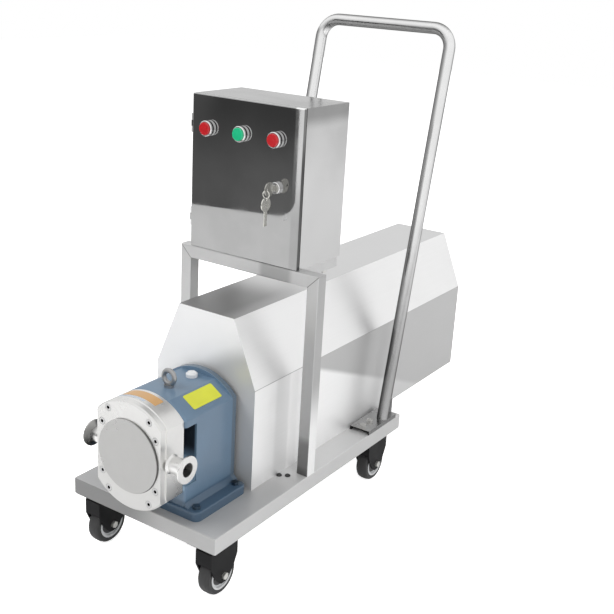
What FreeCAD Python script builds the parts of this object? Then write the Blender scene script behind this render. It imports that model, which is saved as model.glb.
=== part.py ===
import FreeCAD, Part
import math
import os
import re
import Sketcher
from FreeCAD import Placement, Rotation, Vector

# Sanitary rotor pump on a hand trolley.
# Millimetres. +Z is up, the pump looks towards -Y, and the origin is on the floor
# under the middle of the whole machine.

doc = FreeCAD.newDocument("RotorPumpTrolley")

# Driving sizes
SIZES = [
    ("tray_width", 345, "base tray, side to side"),
    ("tray_length", 660, "base tray, front to back"),
    ("tray_rim", 32, "height of the folded rim"),
    ("tray_wall", 2.5, "sheet of the tray"),
    ("tray_corner", 3, "upright corner radius of the tray"),
    ("tray_fold", 2, "rounded top edge of the tray"),
    ("overcut", 10, "how far a cutting shape runs past what it cuts"),
    ("caster_height", 113, "floor to the underside of the rim"),
    ("caster_inset", 35, "wheel centre in from the side of the tray"),
    ("front_swivel", 32.75, "front swivel axis behind the front edge"),
    ("rear_swivel", 44.75, "rear swivel axis in front of the rear edge"),
    ("swivel_trail", 17.5, "axle to swivel axis"),
    ("channel_depth", 60, "caster channel, front to back"),
    ("channel_wall", 3, "sheet of the caster channel"),
    ("pad_width", 62, "caster top plate, across"),
    ("pad_length", 60, "caster top plate, front to back"),
    ("pad_thick", 3, "caster top plate"),
    ("race_radius", 17, "ball race cup"),
    ("race_flare", 3, "how much wider the cup is at its top"),
    ("race_height", 7, "ball race cup"),
    ("kingpin_radius", 5, "kingpin"),
    ("kingpin_head", 9, "kingpin head radius"),
    ("head_thick", 3, "kingpin head"),
    ("race_gap", 0.3, "free play above and below the fork crown"),
    ("fork_sheet", 3, "pressed fork"),
    ("fork_gap", 2, "tyre to fork leg"),
    ("crown_drop", 2, "pressed edge of the crown below its sheet"),
    ("crown_soft", 4, "eased corner of the crown"),
    ("fork_reach", 38, "fork crown in front of and behind the axle"),
    ("fork_waist", 28, "half width of a leg above the axle"),
    ("apron_foot", 70, "floor to the lower edge of the fork apron"),
    ("boss_radius", 14, "fork leg round the axle"),
    ("wheel_diameter", 80, "over the tyre"),
    ("tyre_width", 26, "over the tyre"),
    ("tyre_round", 4, "shoulder of the tyre"),
    ("rim_radius", 29, "seat of the tyre on the hub"),
    ("hub_boss", 9, "radius of the hub round its bolt"),
    ("web_inset", 4, "web of the hub behind the tyre's side"),
    ("rim_ring", 4, "raised ring of the hub"),
    ("rim_proud", 0.5, "rim of the hub outside the tyre"),
    ("boss_proud", 1, "boss of the hub outside the tyre"),
    ("axle_radius", 4, "wheel bolt"),
    ("nut_radius", 7, "wheel nut over its corners"),
    ("nut_thick", 5, "wheel nut"),
    ("spin_gap", 0.08, "running clearance of shafts and axles, on the radius"),
    ("grip_radius", 12.5, "push handle tube"),
    ("grip_wall", 2, "wall of the push handle tube"),
    ("grip_inset", 12.5, "handle leg in from the side of the tray"),
    ("grip_setback", 597, "handle foot behind the front edge"),
    ("grip_rise", 839, "deck to the top bar"),
    ("grip_run", 167, "how far the handle leans back"),
    ("grip_bend", 42, "bend radius at the tube's centre line"),
    ("grip_stub", 20, "handle leg below the deck before it is trimmed"),
    ("bracket_width", 48, "handle bracket, across"),
    ("bracket_front", 77, "bracket in front of the leg"),
    ("bracket_back", 40, "bracket behind the leg"),
    ("bracket_height", 9, "bracket top above the deck"),
    ("bracket_sheet", 3, "sheet of the bracket"),
    ("gusset_height", 42, "upright web behind the leg"),
    ("web_gap", 5, "handle leg to its web"),
    ("web_ease", 8, "slanted corner of the web"),
    ("grip_bolt_front", 14, "front bolts behind the front of a bracket"),
    ("grip_bolt_rear", 34, "rear bolts in front of the leg"),
    ("gate_tube", 26, "square tube of the box stand"),
    ("gate_wall", 2, "wall of the square tube"),
    ("gate_margin", 14, "how much narrower than the tray the stand is"),
    ("gate_shift", 6.5, "middle of the stand to the right of the tray's middle"),
    ("gate_height", 410, "deck to the top of the rail"),
    ("gate_setback", 284.5, "front of the stand behind the front edge"),
    ("gate_round", 2.5, "corner radius of the square tube"),
    ("shelf_tube", 20, "square tube of the arms under the box"),
    ("shelf_short", 9, "arms end in front of the box's back"),
    ("shelf_bolt", 40, "bolts in front of the box's back"),
    ("hood_margin", 53.5, "side of the hood in from the side of the tray"),
    ("hood_setback", 173, "front of the hood behind the front edge"),
    ("hood_length", 851, "hood, front to back"),
    ("hood_side", 204.5, "upright side above the deck"),
    ("hood_rise", 333, "top of the hood above the deck"),
    ("hood_shoulder", 53, "slanted shoulder, across"),
    ("hood_sheet", 1.5, "sheet of the hood"),
    ("mouth_gap", 4, "rear cover to the mouth of the hood"),
    ("louvre_count", 6, "rear louvres"),
    ("louvre_rise", 110, "lowest louvre above the deck"),
    ("louvre_pitch", 26, "rear louvres"),
    ("louvre_length", 130, "rear louvres"),
    ("louvre_height", 8, "rear louvres"),
    ("box_width", 256, "control box"),
    ("box_height", 300, "control box"),
    ("box_depth", 150, "control box with its door"),
    ("box_shift", -7, "middle of the box to the right of the tray's middle"),
    ("box_sheet", 1.5, "sheet of the box and its door"),
    ("box_lip", 12, "inward lip round the mouth of the box"),
    ("door_depth", 8, "door with its return"),
    ("door_round", 2, "outer corner of the door"),
    ("door_gap", 1.5, "door to box"),
    ("hinge_radius", 4, "hinge knuckle"),
    ("hinge_pin", 2, "hinge pin radius"),
    ("hinge_length", 36, "one hinge"),
    ("hinge_slip", 0.3, "knuckle to knuckle"),
    ("hinge_leaf", 20, "hinge leaf along the box"),
    ("hinge_clear", 1.5, "leaf and arm from the hinge axis"),
    ("hinge_inset", 40, "hinge from the top or bottom of the box"),
    ("gasket_margin", 2, "gasket in from the return and from the edge of the lip"),
    ("gasket_play", 0.3, "gasket to lip"),
    ("panel_margin", 22, "mounting plate from the sides and top of the box"),
    ("panel_foot", 40, "mounting plate above the floor of the box"),
    ("panel_thick", 2, "mounting plate"),
    ("panel_gap", 8, "mounting plate off the back wall"),
    ("post_radius", 5, "stand-offs of the mounting plate"),
    ("post_inset", 12, "stand-offs from the edges of the plate"),
    ("rail_height", 35, "mounting rail"),
    ("rail_depth", 7, "mounting rail"),
    ("rail_inset", 40, "rails from the sides of the box"),
    ("rail_drop", 130, "upper rail below the top of the box"),
    ("rail_rise", 75, "lower rail above the floor of the box"),
    ("terminal_pitch", 7, "terminals"),
    ("terminal_gap", 0.6, "terminals"),
    ("terminal_depth", 40, "terminals"),
    ("terminal_height", 46, "terminals"),
    ("terminal_inset", 60, "terminals from the left of the box"),
    ("gland_radius", 8, "thread of the cable gland"),
    ("gland_bore", 5, "cable way through the gland"),
    ("gland_hex", 12, "gland nuts over their corners"),
    ("gland_nut", 4, "lock nut of the gland"),
    ("gland_collar", 8, "collar of the gland"),
    ("gland_dome", 12, "clamping dome of the gland"),
    ("gland_ease", 3, "slope of the dome"),
    ("gland_rise", 20, "gland above the floor of the box"),
    ("hole_play", 0.1, "holes for a thread, on the radius"),
    ("button_first", -87.5, "left button from the middle of the box"),
    ("button_pitch", 79, "button spacing"),
    ("button_drop", 62, "buttons below the top of the box"),
    ("button_hole", 11.1, "radius of the hole for a button"),
    ("bezel_radius", 14.75, "button bezel"),
    ("bezel_height", 12, "button bezel"),
    ("bezel_play", 0.4, "cap and stem in the bezel"),
    ("bezel_ease", 1.2, "eased front edge of bezel and cap"),
    ("bezel_floor", 1, "floor of the bezel"),
    ("bezel_tail", 8, "bezel behind the door's sheet"),
    ("cap_radius", 12.3, "button cap"),
    ("cap_proud", 3.5, "cap in front of its bezel"),
    ("cap_depth", 9, "button cap"),
    ("stem_radius", 5, "button stem"),
    ("stem_tail", 7, "stem in the contact block"),
    ("contact_size", 24, "contact block, across and up"),
    ("contact_depth", 34, "contact block behind the door"),
    ("well_depth", 14, "way for the stem in the contact block"),
    ("lock_right", 75, "lock from the middle of the box"),
    ("lock_drop", 150, "lock below the top of the box"),
    ("lock_radius", 11, "lock barrel flange"),
    ("lock_core", 6, "turning plug of the lock"),
    ("lock_proud", 7, "lock in front of the door"),
    ("cam_reach", 47, "lock axis to the end of the cam"),
    ("cam_thick", 2.5, "cam"),
    ("cam_width", 12, "cam"),
    ("cam_gap", 0.5, "cam behind the lip of the box"),
    ("key_thick", 2, "key"),
    ("key_way", 15, "depth of the slot for the key"),
    ("key_play", 0.05, "key in its slot, on each side"),
    ("lock_neck", 3, "lock flange wider than the barrel"),
    ("plug_tail", 1, "plug behind the cam"),
    ("key_bow", 13.5, "key bow radius"),
    ("key_reach", 3, "lock face to the bow"),
    ("key_eye", 3, "hole in the bow"),
    ("eye_inset", 5, "hole in the bow from its end"),
    ("ring_radius", 7, "key ring"),
    ("ring_drop", 8, "middle of the ring below the lock axis"),
    ("ring_wire", 0.9, "key ring wire radius"),
    ("spare_length", 27, "blade of the spare key"),
    ("pump_rise", 117, "pump centre above the deck"),
    ("cover_overhang", 36.5, "pump nose in front of the tray"),
    ("gear_centres", 63, "distance between the two shafts"),
    ("disc_radius", 69.5, "raised disc of the front cover"),
    ("disc_rise", 3.5, "raised disc of the front cover"),
    ("cover_thick", 13, "front cover"),
    ("cover_half", 75, "front cover, middle to flat"),
    ("casing_radius", 104, "rotor casing"),
    ("casing_half", 77.5, "rotor casing, middle to flat"),
    ("casing_depth", 44, "rotor casing"),
    ("casing_edge", 3, "edge chamfer of casing and cover"),
    ("chamber_depth", 28, "rotor chamber"),
    ("lobes", 3, "lobes on each rotor"),
    ("rotor_gap", 0.25, "rotor clearance all round"),
    ("recess_depth", 8, "recess in a rotor for its nut"),
    ("port_radius", 13, "bore of the ports"),
    ("port_wall", 2, "wall of the port pipes"),
    ("throat_gap", 2, "rotor tip to the end of the port bore"),
    ("throat_step", 0.5, "how much wider the throat is than the port bore"),
    ("port_reach", 113.2, "pump centre to the face of a port"),
    ("ferrule_radius", 25.25, "clamp ferrule"),
    ("ferrule_rim", 2.9, "thin edge of the ferrule"),
    ("ferrule_slope", 5, "taper behind the ferrule"),
    ("pipe_flare", 4, "flared foot of the port pipes"),
    ("screw_wide_x", 63, "outer cover screws, across"),
    ("screw_wide_z", 48.5, "outer cover screws, up and down"),
    ("screw_high_x", 48, "upper and lower cover screws, across"),
    ("screw_high_z", 79, "upper and lower cover screws, up and down"),
    ("screw_radius", 4, "cover screw"),
    ("screw_head", 6.5, "cover screw head"),
    ("screw_sink", 8, "depth of the counterbore"),
    ("screw_grip", 12, "cover screw in the casing"),
    ("socket_depth", 5, "socket in the screw's head"),
    ("tap_depth", 14, "tapped hole in the casing"),
    ("seal_inner", 48, "cover seal round each shaft"),
    ("seal_width", 4, "cover seal"),
    ("seal_depth", 3, "cover seal"),
    ("housing_length", 142, "gear housing"),
    ("housing_half", 82, "gear housing, middle to side"),
    ("housing_shoulder", 71, "shoulder above the pump centre"),
    ("housing_top", 97, "flat top above the pump centre"),
    ("housing_flat", 40, "half width of the flat top"),
    ("flange_radius", 108, "arched rear flange"),
    ("flange_thick", 12, "arched rear flange"),
    ("window_depth", 30, "seal window behind the casing"),
    ("window_half", 57, "seal window, half its height"),
    ("wall_depth", 24, "front bearing wall"),
    ("room_depth", 64, "gear room"),
    ("room_gap", 2.5, "gear tip to the gear room"),
    ("foot_reach", 114.3, "pump centre to the edge of a foot"),
    ("foot_height", 18, "pump foot"),
    ("foot_lead", 4, "foot in front of the housing"),
    ("foot_round", 13, "foot corner"),
    ("foot_soft", 3, "rounded top edge of a foot"),
    ("foot_clear", 1, "casing to the feet"),
    ("foot_rib", 9, "fillet between foot and housing"),
    ("housing_soft", 5, "rounded edges of the gear housing"),
    ("foot_hole", 5.5, "hole in a foot"),
    ("foot_bolt_x", 99, "foot bolts from the middle"),
    ("foot_bolt_inset", 17, "foot bolts from the ends of the foot"),
    ("bolt_radius", 4, "bolts through the deck"),
    ("bolt_hex", 7.5, "bolt head over its corners"),
    ("bolt_head", 5.5, "bolt head"),
    ("bolt_play", 0.3, "bolt holes, on the radius"),
    ("bolt_tail", 3, "thread below the nut"),
    ("shaft_nose", 10, "shaft radius in the rotor"),
    ("nut_rim", 4, "rotor nut beyond the shaft, to its corners"),
    ("shaft_seal", 12, "shaft radius at the seals"),
    ("shaft_bearing", 15, "shaft radius in the bearings"),
    ("seal_radius", 17, "shaft seal"),
    ("seal_front", 12, "shaft seal inside the casing"),
    ("seal_length", 18, "shaft seal"),
    ("seal_lip", 3, "rim of the shaft seal"),
    ("bearing_radius", 26, "outer radius of the bearings"),
    ("bearing_width", 16, "bearings"),
    ("gear_module", 3, "timing gears"),
    ("gear_teeth", 21, "timing gears"),
    ("gear_width", 20, "timing gears"),
    ("gear_start", 10, "timing gear behind the bearing wall"),
    ("gear_play", 0.12, "backlash taken off each flank"),
    ("cover_lip", 9, "rear cover flange round the gear room"),
    ("lip_thick", 6, "rear cover flange"),
    ("cap_back", 111, "oil filler behind the housing front"),
    ("filler_radius", 11, "oil filler"),
    ("filler_height", 9, "oil filler"),
    ("filler_slope", 3, "eased edge of the oil filler"),
    ("stem_depth", 12, "threads of the fittings in the housing"),
    ("stem_slack", 0.1, "threads of the fittings, on the radius"),
    ("thread_bore", 2, "head to thread of the side fittings, on the radius"),
    ("fitting_lead", 20, "side fittings in front of the filler"),
    ("drain_rise", 10, "drain plug above the floor of the gear room"),
    ("eye_back", 48, "lifting eye behind the housing front"),
    ("eye_radius", 12.5, "lifting eye, to the middle of its ring"),
    ("eye_wire", 4.5, "lifting eye wire radius"),
    ("collar_height", 5, "collar under the lifting eye"),
    ("glass_radius", 12, "oil sight glass"),
    ("drain_radius", 8, "drain plug"),
    ("drain_head", 6, "head of the drain plug"),
    ("coupling_start", 192, "coupling behind the housing front"),
    ("hub_radius", 28, "coupling half"),
    ("hub_length", 30, "coupling half"),
    ("jaw_length", 12, "coupling jaws"),
    ("bed_half", 74, "drive bed, half width"),
    ("bed_start", 40, "drive bed behind the hood front"),
    ("bed_length", 600, "drive bed"),
    ("bed_height", 40, "drive bed above the deck"),
    ("bed_wall", 4, "drive bed sheet"),
    ("bed_flange", 25, "turned-out flanges of the bed"),
    ("bed_bolt_out", 12, "bed bolts outside the channel"),
    ("bed_bolt_front", 30, "front bed bolts behind the bed's front"),
    ("bed_bolt_rear", 60, "rear bed bolts in front of the tray's rear edge"),
    ("reducer_gap", 12, "coupling to reducer"),
    ("reducer_length", 170, "gear reducer"),
    ("reducer_radius", 66, "gear reducer"),
    ("reducer_foot", 16, "foot of the reducer"),
    ("reducer_inset", 22, "foot behind the reducer's front"),
    ("reducer_web", 80, "web under the reducer, across"),
    ("output_radius", 12, "output shaft of the reducer"),
    ("motor_radius", 70, "motor barrel"),
    ("motor_fin", 10, "cooling fins"),
    ("motor_fins", 20, "cooling fins"),
    ("fin_thick", 2.5, "cooling fins"),
    ("fin_inset", 25, "fins behind the barrel's front"),
    ("fin_short", 40, "fins shorter than the barrel"),
    ("terminal_box", 80, "terminal box of the motor, across"),
    ("terminal_long", 90, "terminal box, front to back"),
    ("terminal_rise", 22, "terminal box above the fins"),
    ("terminal_start", 50, "terminal box behind the barrel's front"),
    ("motor_length", 250, "motor barrel"),
    ("cowl_length", 70, "fan cowl"),
    ("cowl_wall", 2, "fan cowl"),
    ("cowl_lap", 15, "cowl over the barrel"),
    ("cowl_eye", 20, "air hole in the cowl, radius"),
    ("fan_length", 26, "fan blades"),
    ("fan_start", 10, "fan behind the barrel"),
    ("fan_gap", 6, "fan inside the barrel's radius"),
    ("fan_thick", 3, "fan blades"),
    ("spindle_tail", 40, "motor shaft behind the barrel"),
]

# Places worked out from the sizes
PLACES = [
    ("deck", "caster_height + tray_rim", "top of the tray"),
    ("tray_front", "-(hood_setback + hood_length - cover_overhang) / 2", "front edge of the tray"),
    ("tray_rear", "tray_front + tray_length", "rear edge of the tray"),
    ("caster_x", "tray_width / 2 - caster_inset", "wheel centre from the middle"),
    ("front_swivel_y", "tray_front + front_swivel", "front swivel axis"),
    ("front_axle_y", "front_swivel_y + swivel_trail", "front axles"),
    ("rear_swivel_y", "tray_rear - rear_swivel", "rear swivel axis"),
    ("rear_axle_y", "rear_swivel_y - swivel_trail", "rear axles"),
    ("axle_z", "wheel_diameter / 2", "wheel axle"),
    ("crown_top", "caster_height - pad_thick - race_height - race_gap", "top of the fork crown"),
    ("crown_under", "crown_top - fork_sheet - crown_drop", "underside of the fork crown"),
    ("fork_half", "tyre_width / 2 + fork_gap + fork_sheet", "outside of a fork leg"),
    ("grip_half", "tray_width / 2 - grip_inset", "handle leg from the middle"),
    ("grip_y", "tray_front + grip_setback", "foot of the handle"),
    ("bracket_x", "(tray_width - bracket_width) / 2", "middle of a handle bracket"),
    ("gate_y", "tray_front + gate_setback", "front of the stand"),
    ("gate_top", "deck + gate_height", "top of the rail"),
    ("gate_width", "tray_width - gate_margin", "over the posts"),
    ("gate_left", "gate_shift - gate_width / 2", "outside of the left post"),
    ("hood_half", "tray_width / 2 - hood_margin", "half width of the motor hood"),
    ("hood_flat", "hood_half - hood_shoulder", "half width of the flat top"),
    ("hood_front", "tray_front + hood_setback", "front of the hood"),
    ("hood_back", "hood_front + hood_length", "rear of the hood"),
    ("box_left", "box_shift - box_width / 2", "left side of the box"),
    ("box_top", "gate_top + box_height", "top of the box"),
    ("seam_y", "gate_y + door_depth", "rear edge of the door"),
    ("mouth_y", "seam_y + door_gap", "front of the lip of the box"),
    ("box_back", "gate_y + box_depth", "rear of the box"),
    ("hinge_x", "box_left - hinge_radius - 0.5", "door hinge axis"),
    ("hinge_y", "seam_y + door_gap / 2", "door hinge axis"),
    ("button_z", "box_top - button_drop", "buttons"),
    ("gland_z", "gate_top + gland_rise", "cable gland"),
    ("gland_length", "gland_nut + box_sheet + gland_collar + gland_dome", "cable gland"),
    ("lock_x", "box_shift + lock_right", "lock"),
    ("lock_z", "box_top - lock_drop", "lock"),
    ("key_y", "gate_y - lock_proud - key_reach - key_bow", "middle of the key bow"),
    ("eye_y", "key_y - key_bow + eye_inset", "hole in the key bow"),
    ("lip_y", "mouth_y + box_sheet", "back of the lip of the box"),
    ("pump_z", "deck + pump_rise", "pump centre"),
    ("upper_z", "pump_z + gear_centres / 2", "drive shaft"),
    ("lower_z", "pump_z - gear_centres / 2", "driven shaft"),
    ("nose_y", "tray_front - cover_overhang", "face of the raised disc"),
    ("cover_y", "nose_y + disc_rise", "front of the cover"),
    ("casing_y", "cover_y + cover_thick", "front of the casing"),
    ("chamber_y", "casing_y + chamber_depth", "back of the rotor chamber"),
    ("port_y", "casing_y + chamber_depth / 2", "axis of the ports"),
    ("housing_y", "casing_y + casing_depth", "front of the gear housing"),
    ("wall_y", "housing_y + window_depth", "front of the bearing wall"),
    ("room_y", "wall_y + wall_depth", "front of the gear room"),
    ("plug_y", "room_y + room_depth", "front of the rear cover's plug"),
    ("rear_y", "housing_y + housing_length", "rear of the gear housing"),
    ("room_radius", "(gear_centres + 2 * gear_module) / 2 + room_gap", "gear room round each shaft"),
    ("front_bearing_y", "room_y - bearing_width", "front bearings"),
    ("gear_y", "room_y + gear_start", "timing gears"),
    ("rotor_radius", "gear_centres / 2 * (1 + 1 / lobes)", "tip of a rotor"),
    ("throat_x", "rotor_radius + throat_gap", "end of the port pipes' bore"),
    ("nose_start", "casing_y + rotor_gap + 1", "front end of the shafts"),
    ("foot_y", "housing_y - foot_lead", "front of the pump feet"),
    ("foot_bolt_front", "foot_y + foot_bolt_inset", "front foot bolts"),
    ("foot_bolt_rear", "rear_y - foot_bolt_inset", "rear foot bolts"),
    ("coupling_y", "housing_y + coupling_start", "front of the coupling"),
    ("spider_y", "coupling_y + hub_length", "front of the coupling spider"),
    ("motor_half_y", "spider_y + jaw_length", "front of the motor half"),
    ("coupling_end", "motor_half_y + hub_length", "rear of the coupling"),
    ("reducer_y", "coupling_end + reducer_gap", "front of the reducer"),
    ("motor_y", "reducer_y + reducer_length", "front of the motor"),
    ("cowl_y", "motor_y + motor_length", "front of the fan cowl"),
    ("bed_y", "hood_front + bed_start", "front of the drive bed"),
    ("bed_top", "deck + bed_height", "top of the drive bed"),
]

size_names = {name for name, value, note in SIZES}
place_names = {name for name, formula, note in PLACES}


def linked(text):
    """Put the sheet in front of every size and place named in a formula."""
    def with_sheet(match):
        word = match.group()
        if word in size_names:
            return "Sizes." + word
        if word in place_names:
            return "Places." + word
        return word
    return re.sub(r"[a-z][a-z0-9_]*", with_sheet, text)


sheet = doc.addObject("Spreadsheet::Sheet", "Sizes")
for row, (name, value, note) in enumerate(SIZES, start=1):
    sheet.set(f"A{row}", name)
    sheet.set(f"B{row}", str(value))
    sheet.set(f"C{row}", note)
    sheet.setAlias(f"B{row}", name)
places = doc.addObject("Spreadsheet::Sheet", "Places")
for row, (name, formula, note) in enumerate(PLACES, start=1):
    places.set(f"A{row}", name)
    places.setAlias(f"B{row}", name)
    places.set(f"C{row}", note)
for row, (name, formula, note) in enumerate(PLACES, start=1):
    places.set(f"B{row}", "=" + linked(formula).replace("Places.", ""))
doc.recompute()


def size(name):
    """The value of one size or place, for a shape that is worked out in code."""
    holder = sheet if name in size_names else places
    return float(holder.get(name))


# Turns of a local frame: a turned piece's axis is its local Z
ALONG_X = Rotation(Vector(0, 1, 0), 90)
ALONG_Y = Rotation(Vector(1, 0, 0), -90)
UPRIGHT = Rotation()
FRONT_VIEW = Rotation(Vector(1, 0, 0), 90)
SIDE_VIEW = Rotation(Vector(1, 1, 1), 120)
sub_parts = []


def seat(thing, at, turn=UPRIGHT):
    """Turn an object and tie its place to the sheets."""
    thing.Placement = Placement(Vector(), turn)
    for axis, text in zip("xyz", at):
        thing.setExpression("Placement.Base." + axis, linked(text))
    return thing


def named(label, thing):
    """Make an object a sub-part under its own label."""
    thing.Label = label
    sub_parts.append(thing)
    return thing


def block(name, lengths, at):
    thing = doc.addObject("Part::Box", name)
    for side, text in zip(("Length", "Width", "Height"), lengths):
        thing.setExpression(side, linked(text))
    return seat(thing, at)


def rod(name, radius, length, at, turn=UPRIGHT):
    thing = doc.addObject("Part::Cylinder", name)
    thing.setExpression("Radius", linked(radius))
    thing.setExpression("Height", linked(length))
    return seat(thing, at, turn)


def hexagon(name, radius, length, at, turn=UPRIGHT):
    thing = doc.addObject("Part::Prism", name)
    thing.Polygon = 6
    thing.setExpression("Circumradius", linked(radius))
    thing.setExpression("Height", linked(length))
    return seat(thing, at, turn)


def ring(name, radius, wire, at, turn=UPRIGHT, sweep=360):
    thing = doc.addObject("Part::Torus", name)
    thing.setExpression("Radius1", linked(radius))
    thing.setExpression("Radius2", linked(wire))
    thing.Angle3 = sweep
    return seat(thing, at, turn)


def fuse(name, pieces):
    thing = doc.addObject("Part::MultiFuse", name)
    thing.Shapes = pieces
    thing.Refine = True
    return thing


def cut(name, base, tools):
    thing = doc.addObject("Part::Cut", name)
    thing.Base = base
    thing.Tool = tools[0] if len(tools) == 1 else fuse(name + "_tools", tools)
    return thing


def common(name, first, second):
    thing = doc.addObject("Part::Common", name)
    thing.Base = first
    thing.Tool = second
    return thing


def group(name, pieces):
    thing = doc.addObject("Part::Compound", name)
    thing.Links = pieces
    return thing


def rounded(name, base, radius, wanted):
    """Fillet the edges of a piece that a test picks."""
    doc.recompute()
    thing = doc.addObject("Part::Fillet", name)
    thing.Base = base
    edges = base.Shape.Edges
    thing.Edges = [(i, radius, radius) for i, edge in enumerate(edges, start=1) if wanted(edge)]
    return thing


def runs_along(edge, axis):
    """True for a straight edge along one axis."""
    if not isinstance(edge.Curve, Part.Line):
        return False
    return abs(edge.Curve.Direction.dot(axis)) > 0.999


def origin_plane(body, role):
    return next(item for item in body.Origin.OriginFeatures if item.Role == role)


def draw(sketch, points, circles=()):
    """Draw a closed outline of straight runs and tie every corner to the sheets."""
    step = 2 * math.pi / len(points)
    guess = [Vector(10 * math.cos(i * step), 10 * math.sin(i * step), 0) for i in range(len(points))]
    lines = [Part.LineSegment(guess[i - 1], guess[i]) for i in range(len(points))]
    ids = sketch.addGeometry(lines, False)
    ties = [Sketcher.Constraint("Coincident", ids[i - 1], 2, ids[i], 1) for i in range(len(ids))]
    formulas = []
    for i, (across, up) in enumerate(points):
        for kind, value, text in (("DistanceX", guess[i].x, across), ("DistanceY", guess[i].y, up)):
            formulas.append((len(ties), text))
            ties.append(Sketcher.Constraint(kind, -1, 1, ids[i], 2, value))
    for i, (across, up, radius) in enumerate(circles):
        start = 1.0 + i
        shape = Part.Circle(Vector(start, start, 0), Vector(0, 0, 1), start)
        circle = sketch.addGeometry(shape, False)
        formulas.append((len(ties), across))
        ties.append(Sketcher.Constraint("DistanceX", -1, 1, circle, 3, start))
        formulas.append((len(ties), up))
        ties.append(Sketcher.Constraint("DistanceY", -1, 1, circle, 3, start))
        formulas.append((len(ties), radius))
        ties.append(Sketcher.Constraint("Radius", circle, start))
    sketch.addConstraint(ties)
    for index, text in formulas:
        sketch.setExpression(f"Constraints[{index}]", linked(text))


def sketched(name, plane_role, points, circles=()):
    body = doc.addObject("PartDesign::Body", name)
    sketch = body.newObject("Sketcher::SketchObject", name + "_outline")
    sketch.AttachmentSupport = (origin_plane(body, plane_role), [""])
    sketch.MapMode = "FlatFace"
    draw(sketch, points, circles)
    return body, sketch


def padded(name, points, length, at, turn=UPRIGHT, circles=()):
    """An outline in the local XY plane, drawn out along local Z."""
    body, sketch = sketched(name, "XY_Plane", points, circles)
    pad = body.newObject("PartDesign::Pad", name + "_pad")
    pad.Profile = sketch
    pad.setExpression("Length", linked(length))
    body.Tip = pad
    return seat(body, at, turn)


def turned(name, profile, at, turn=UPRIGHT):
    """A profile of (radius, height) corners, turned about local Z."""
    body, sketch = sketched(name, "XZ_Plane", profile)
    feature = body.newObject("PartDesign::Revolution", name + "_turn")
    feature.Profile = sketch
    feature.ReferenceAxis = (sketch, ["V_Axis"])
    feature.Angle = 360
    body.Tip = feature
    return seat(body, at, turn)


def washer(name, inner, outer, length, at, turn=UPRIGHT):
    """A plain ring with a bore."""
    profile = [(inner, "0"), (outer, "0"), (outer, length), (inner, length)]
    return turned(name, profile, at, turn)


def obround(name, radius, length, y):
    """A long round form about both pump shafts, drawn out along Y."""
    upper = rod(name + "_upper", radius, length, ("0", y, "upper_z"), ALONG_Y)
    lower = rod(name + "_lower", radius, length, ("0", y, "lower_z"), ALONG_Y)
    middle = block(name + "_middle", ("2 * (" + radius + ")", length, "gear_centres"),
                   ("-(" + radius + ")", y, "lower_z"))
    return fuse(name, [upper, lower, middle])


def hex_bolt(name, x, y, top, grip):
    """A hex bolt that stands upright through a stack of plates, with its nut below."""
    head = hexagon(name + "_head", "bolt_hex", "bolt_head", (x, y, top))
    shank = rod(name + "_shank", "bolt_radius", grip + " + bolt_head + bolt_tail",
                (x, y, top + " - (" + grip + ") - bolt_head - bolt_tail"))
    nut = hexagon(name + "_nut", "bolt_hex", "bolt_head", (x, y, top + " - (" + grip + ") - bolt_head"))
    return fuse(name, [head, shank, nut])


# Where bolts go through the deck: across, front to back, and the piece they hold down
FOOT_BOLTS = [(side + "foot_bolt_x", y, "foot_height")
              for side in ("-", "") for y in ("foot_bolt_front", "foot_bolt_rear")]
BED_BOLTS = [(side + "(bed_half + bed_bolt_out)", y, "bed_wall")
             for side in ("-", "") for y in ("bed_y + bed_bolt_front", "tray_rear - bed_bolt_rear")]
GRIP_BOLTS = [(side + "bracket_x", y, "bracket_height")
              for side in ("-", "") for y in ("grip_y - bracket_front + grip_bolt_front",
                                              "grip_y - grip_bolt_rear")]
BOX_BOLTS = [("box_left + shelf_tube / 2", "box_back - shelf_bolt"),
             ("box_left + box_width - shelf_tube / 2", "box_back - shelf_bolt")]


def base_tray():
    outside = block("tray_outside", ("tray_width", "tray_length", "tray_rim"),
                    ("-tray_width / 2", "tray_front", "caster_height"))
    inside = block("tray_inside",
                   ("tray_width - 2 * tray_wall", "tray_length - 2 * tray_wall", "tray_rim"),
                   ("tray_wall - tray_width / 2", "tray_front + tray_wall", "caster_height - tray_wall"))
    up = Vector(0, 0, 1)
    corner = size("tray_corner")
    outer = rounded("tray_outer", outside, corner, lambda edge: runs_along(edge, up))
    inner = rounded("tray_inner", inside, corner - size("tray_wall"), lambda edge: runs_along(edge, up))
    top = size("deck")
    folded = rounded("tray_folded", outer, size("tray_fold"), lambda edge: edge.BoundBox.ZMin > top - 0.1)
    shell = cut("tray_shell", folded, [inner])
    welded = [shell]
    for end in ("front", "rear"):
        y = end + "_swivel_y - channel_depth / 2"
        height = "tray_rim - tray_wall"
        solid = block(end + "_channel_out", ("tray_width - tray_wall", "channel_depth", height),
                      ("(tray_wall - tray_width) / 2", y, "caster_height"))
        hollow = block(end + "_channel_in", ("tray_width", "channel_depth - 2 * channel_wall", height),
                       ("-tray_width / 2", y + " + channel_wall", "caster_height + channel_wall"))
        welded.append(cut(end + "_channel", solid, [hollow]))
    whole = fuse("tray_welded", welded)
    holes = [rod(f"tray_hole_{i}", "bolt_radius + bolt_play", "tray_wall + 2 * overcut",
                 (x, y, "deck - tray_wall - overcut"))
             for i, (x, y, grip) in enumerate(FOOT_BOLTS + BED_BOLTS + GRIP_BOLTS)]
    return named("base_tray", cut("base_tray", whole, holes))


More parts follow.
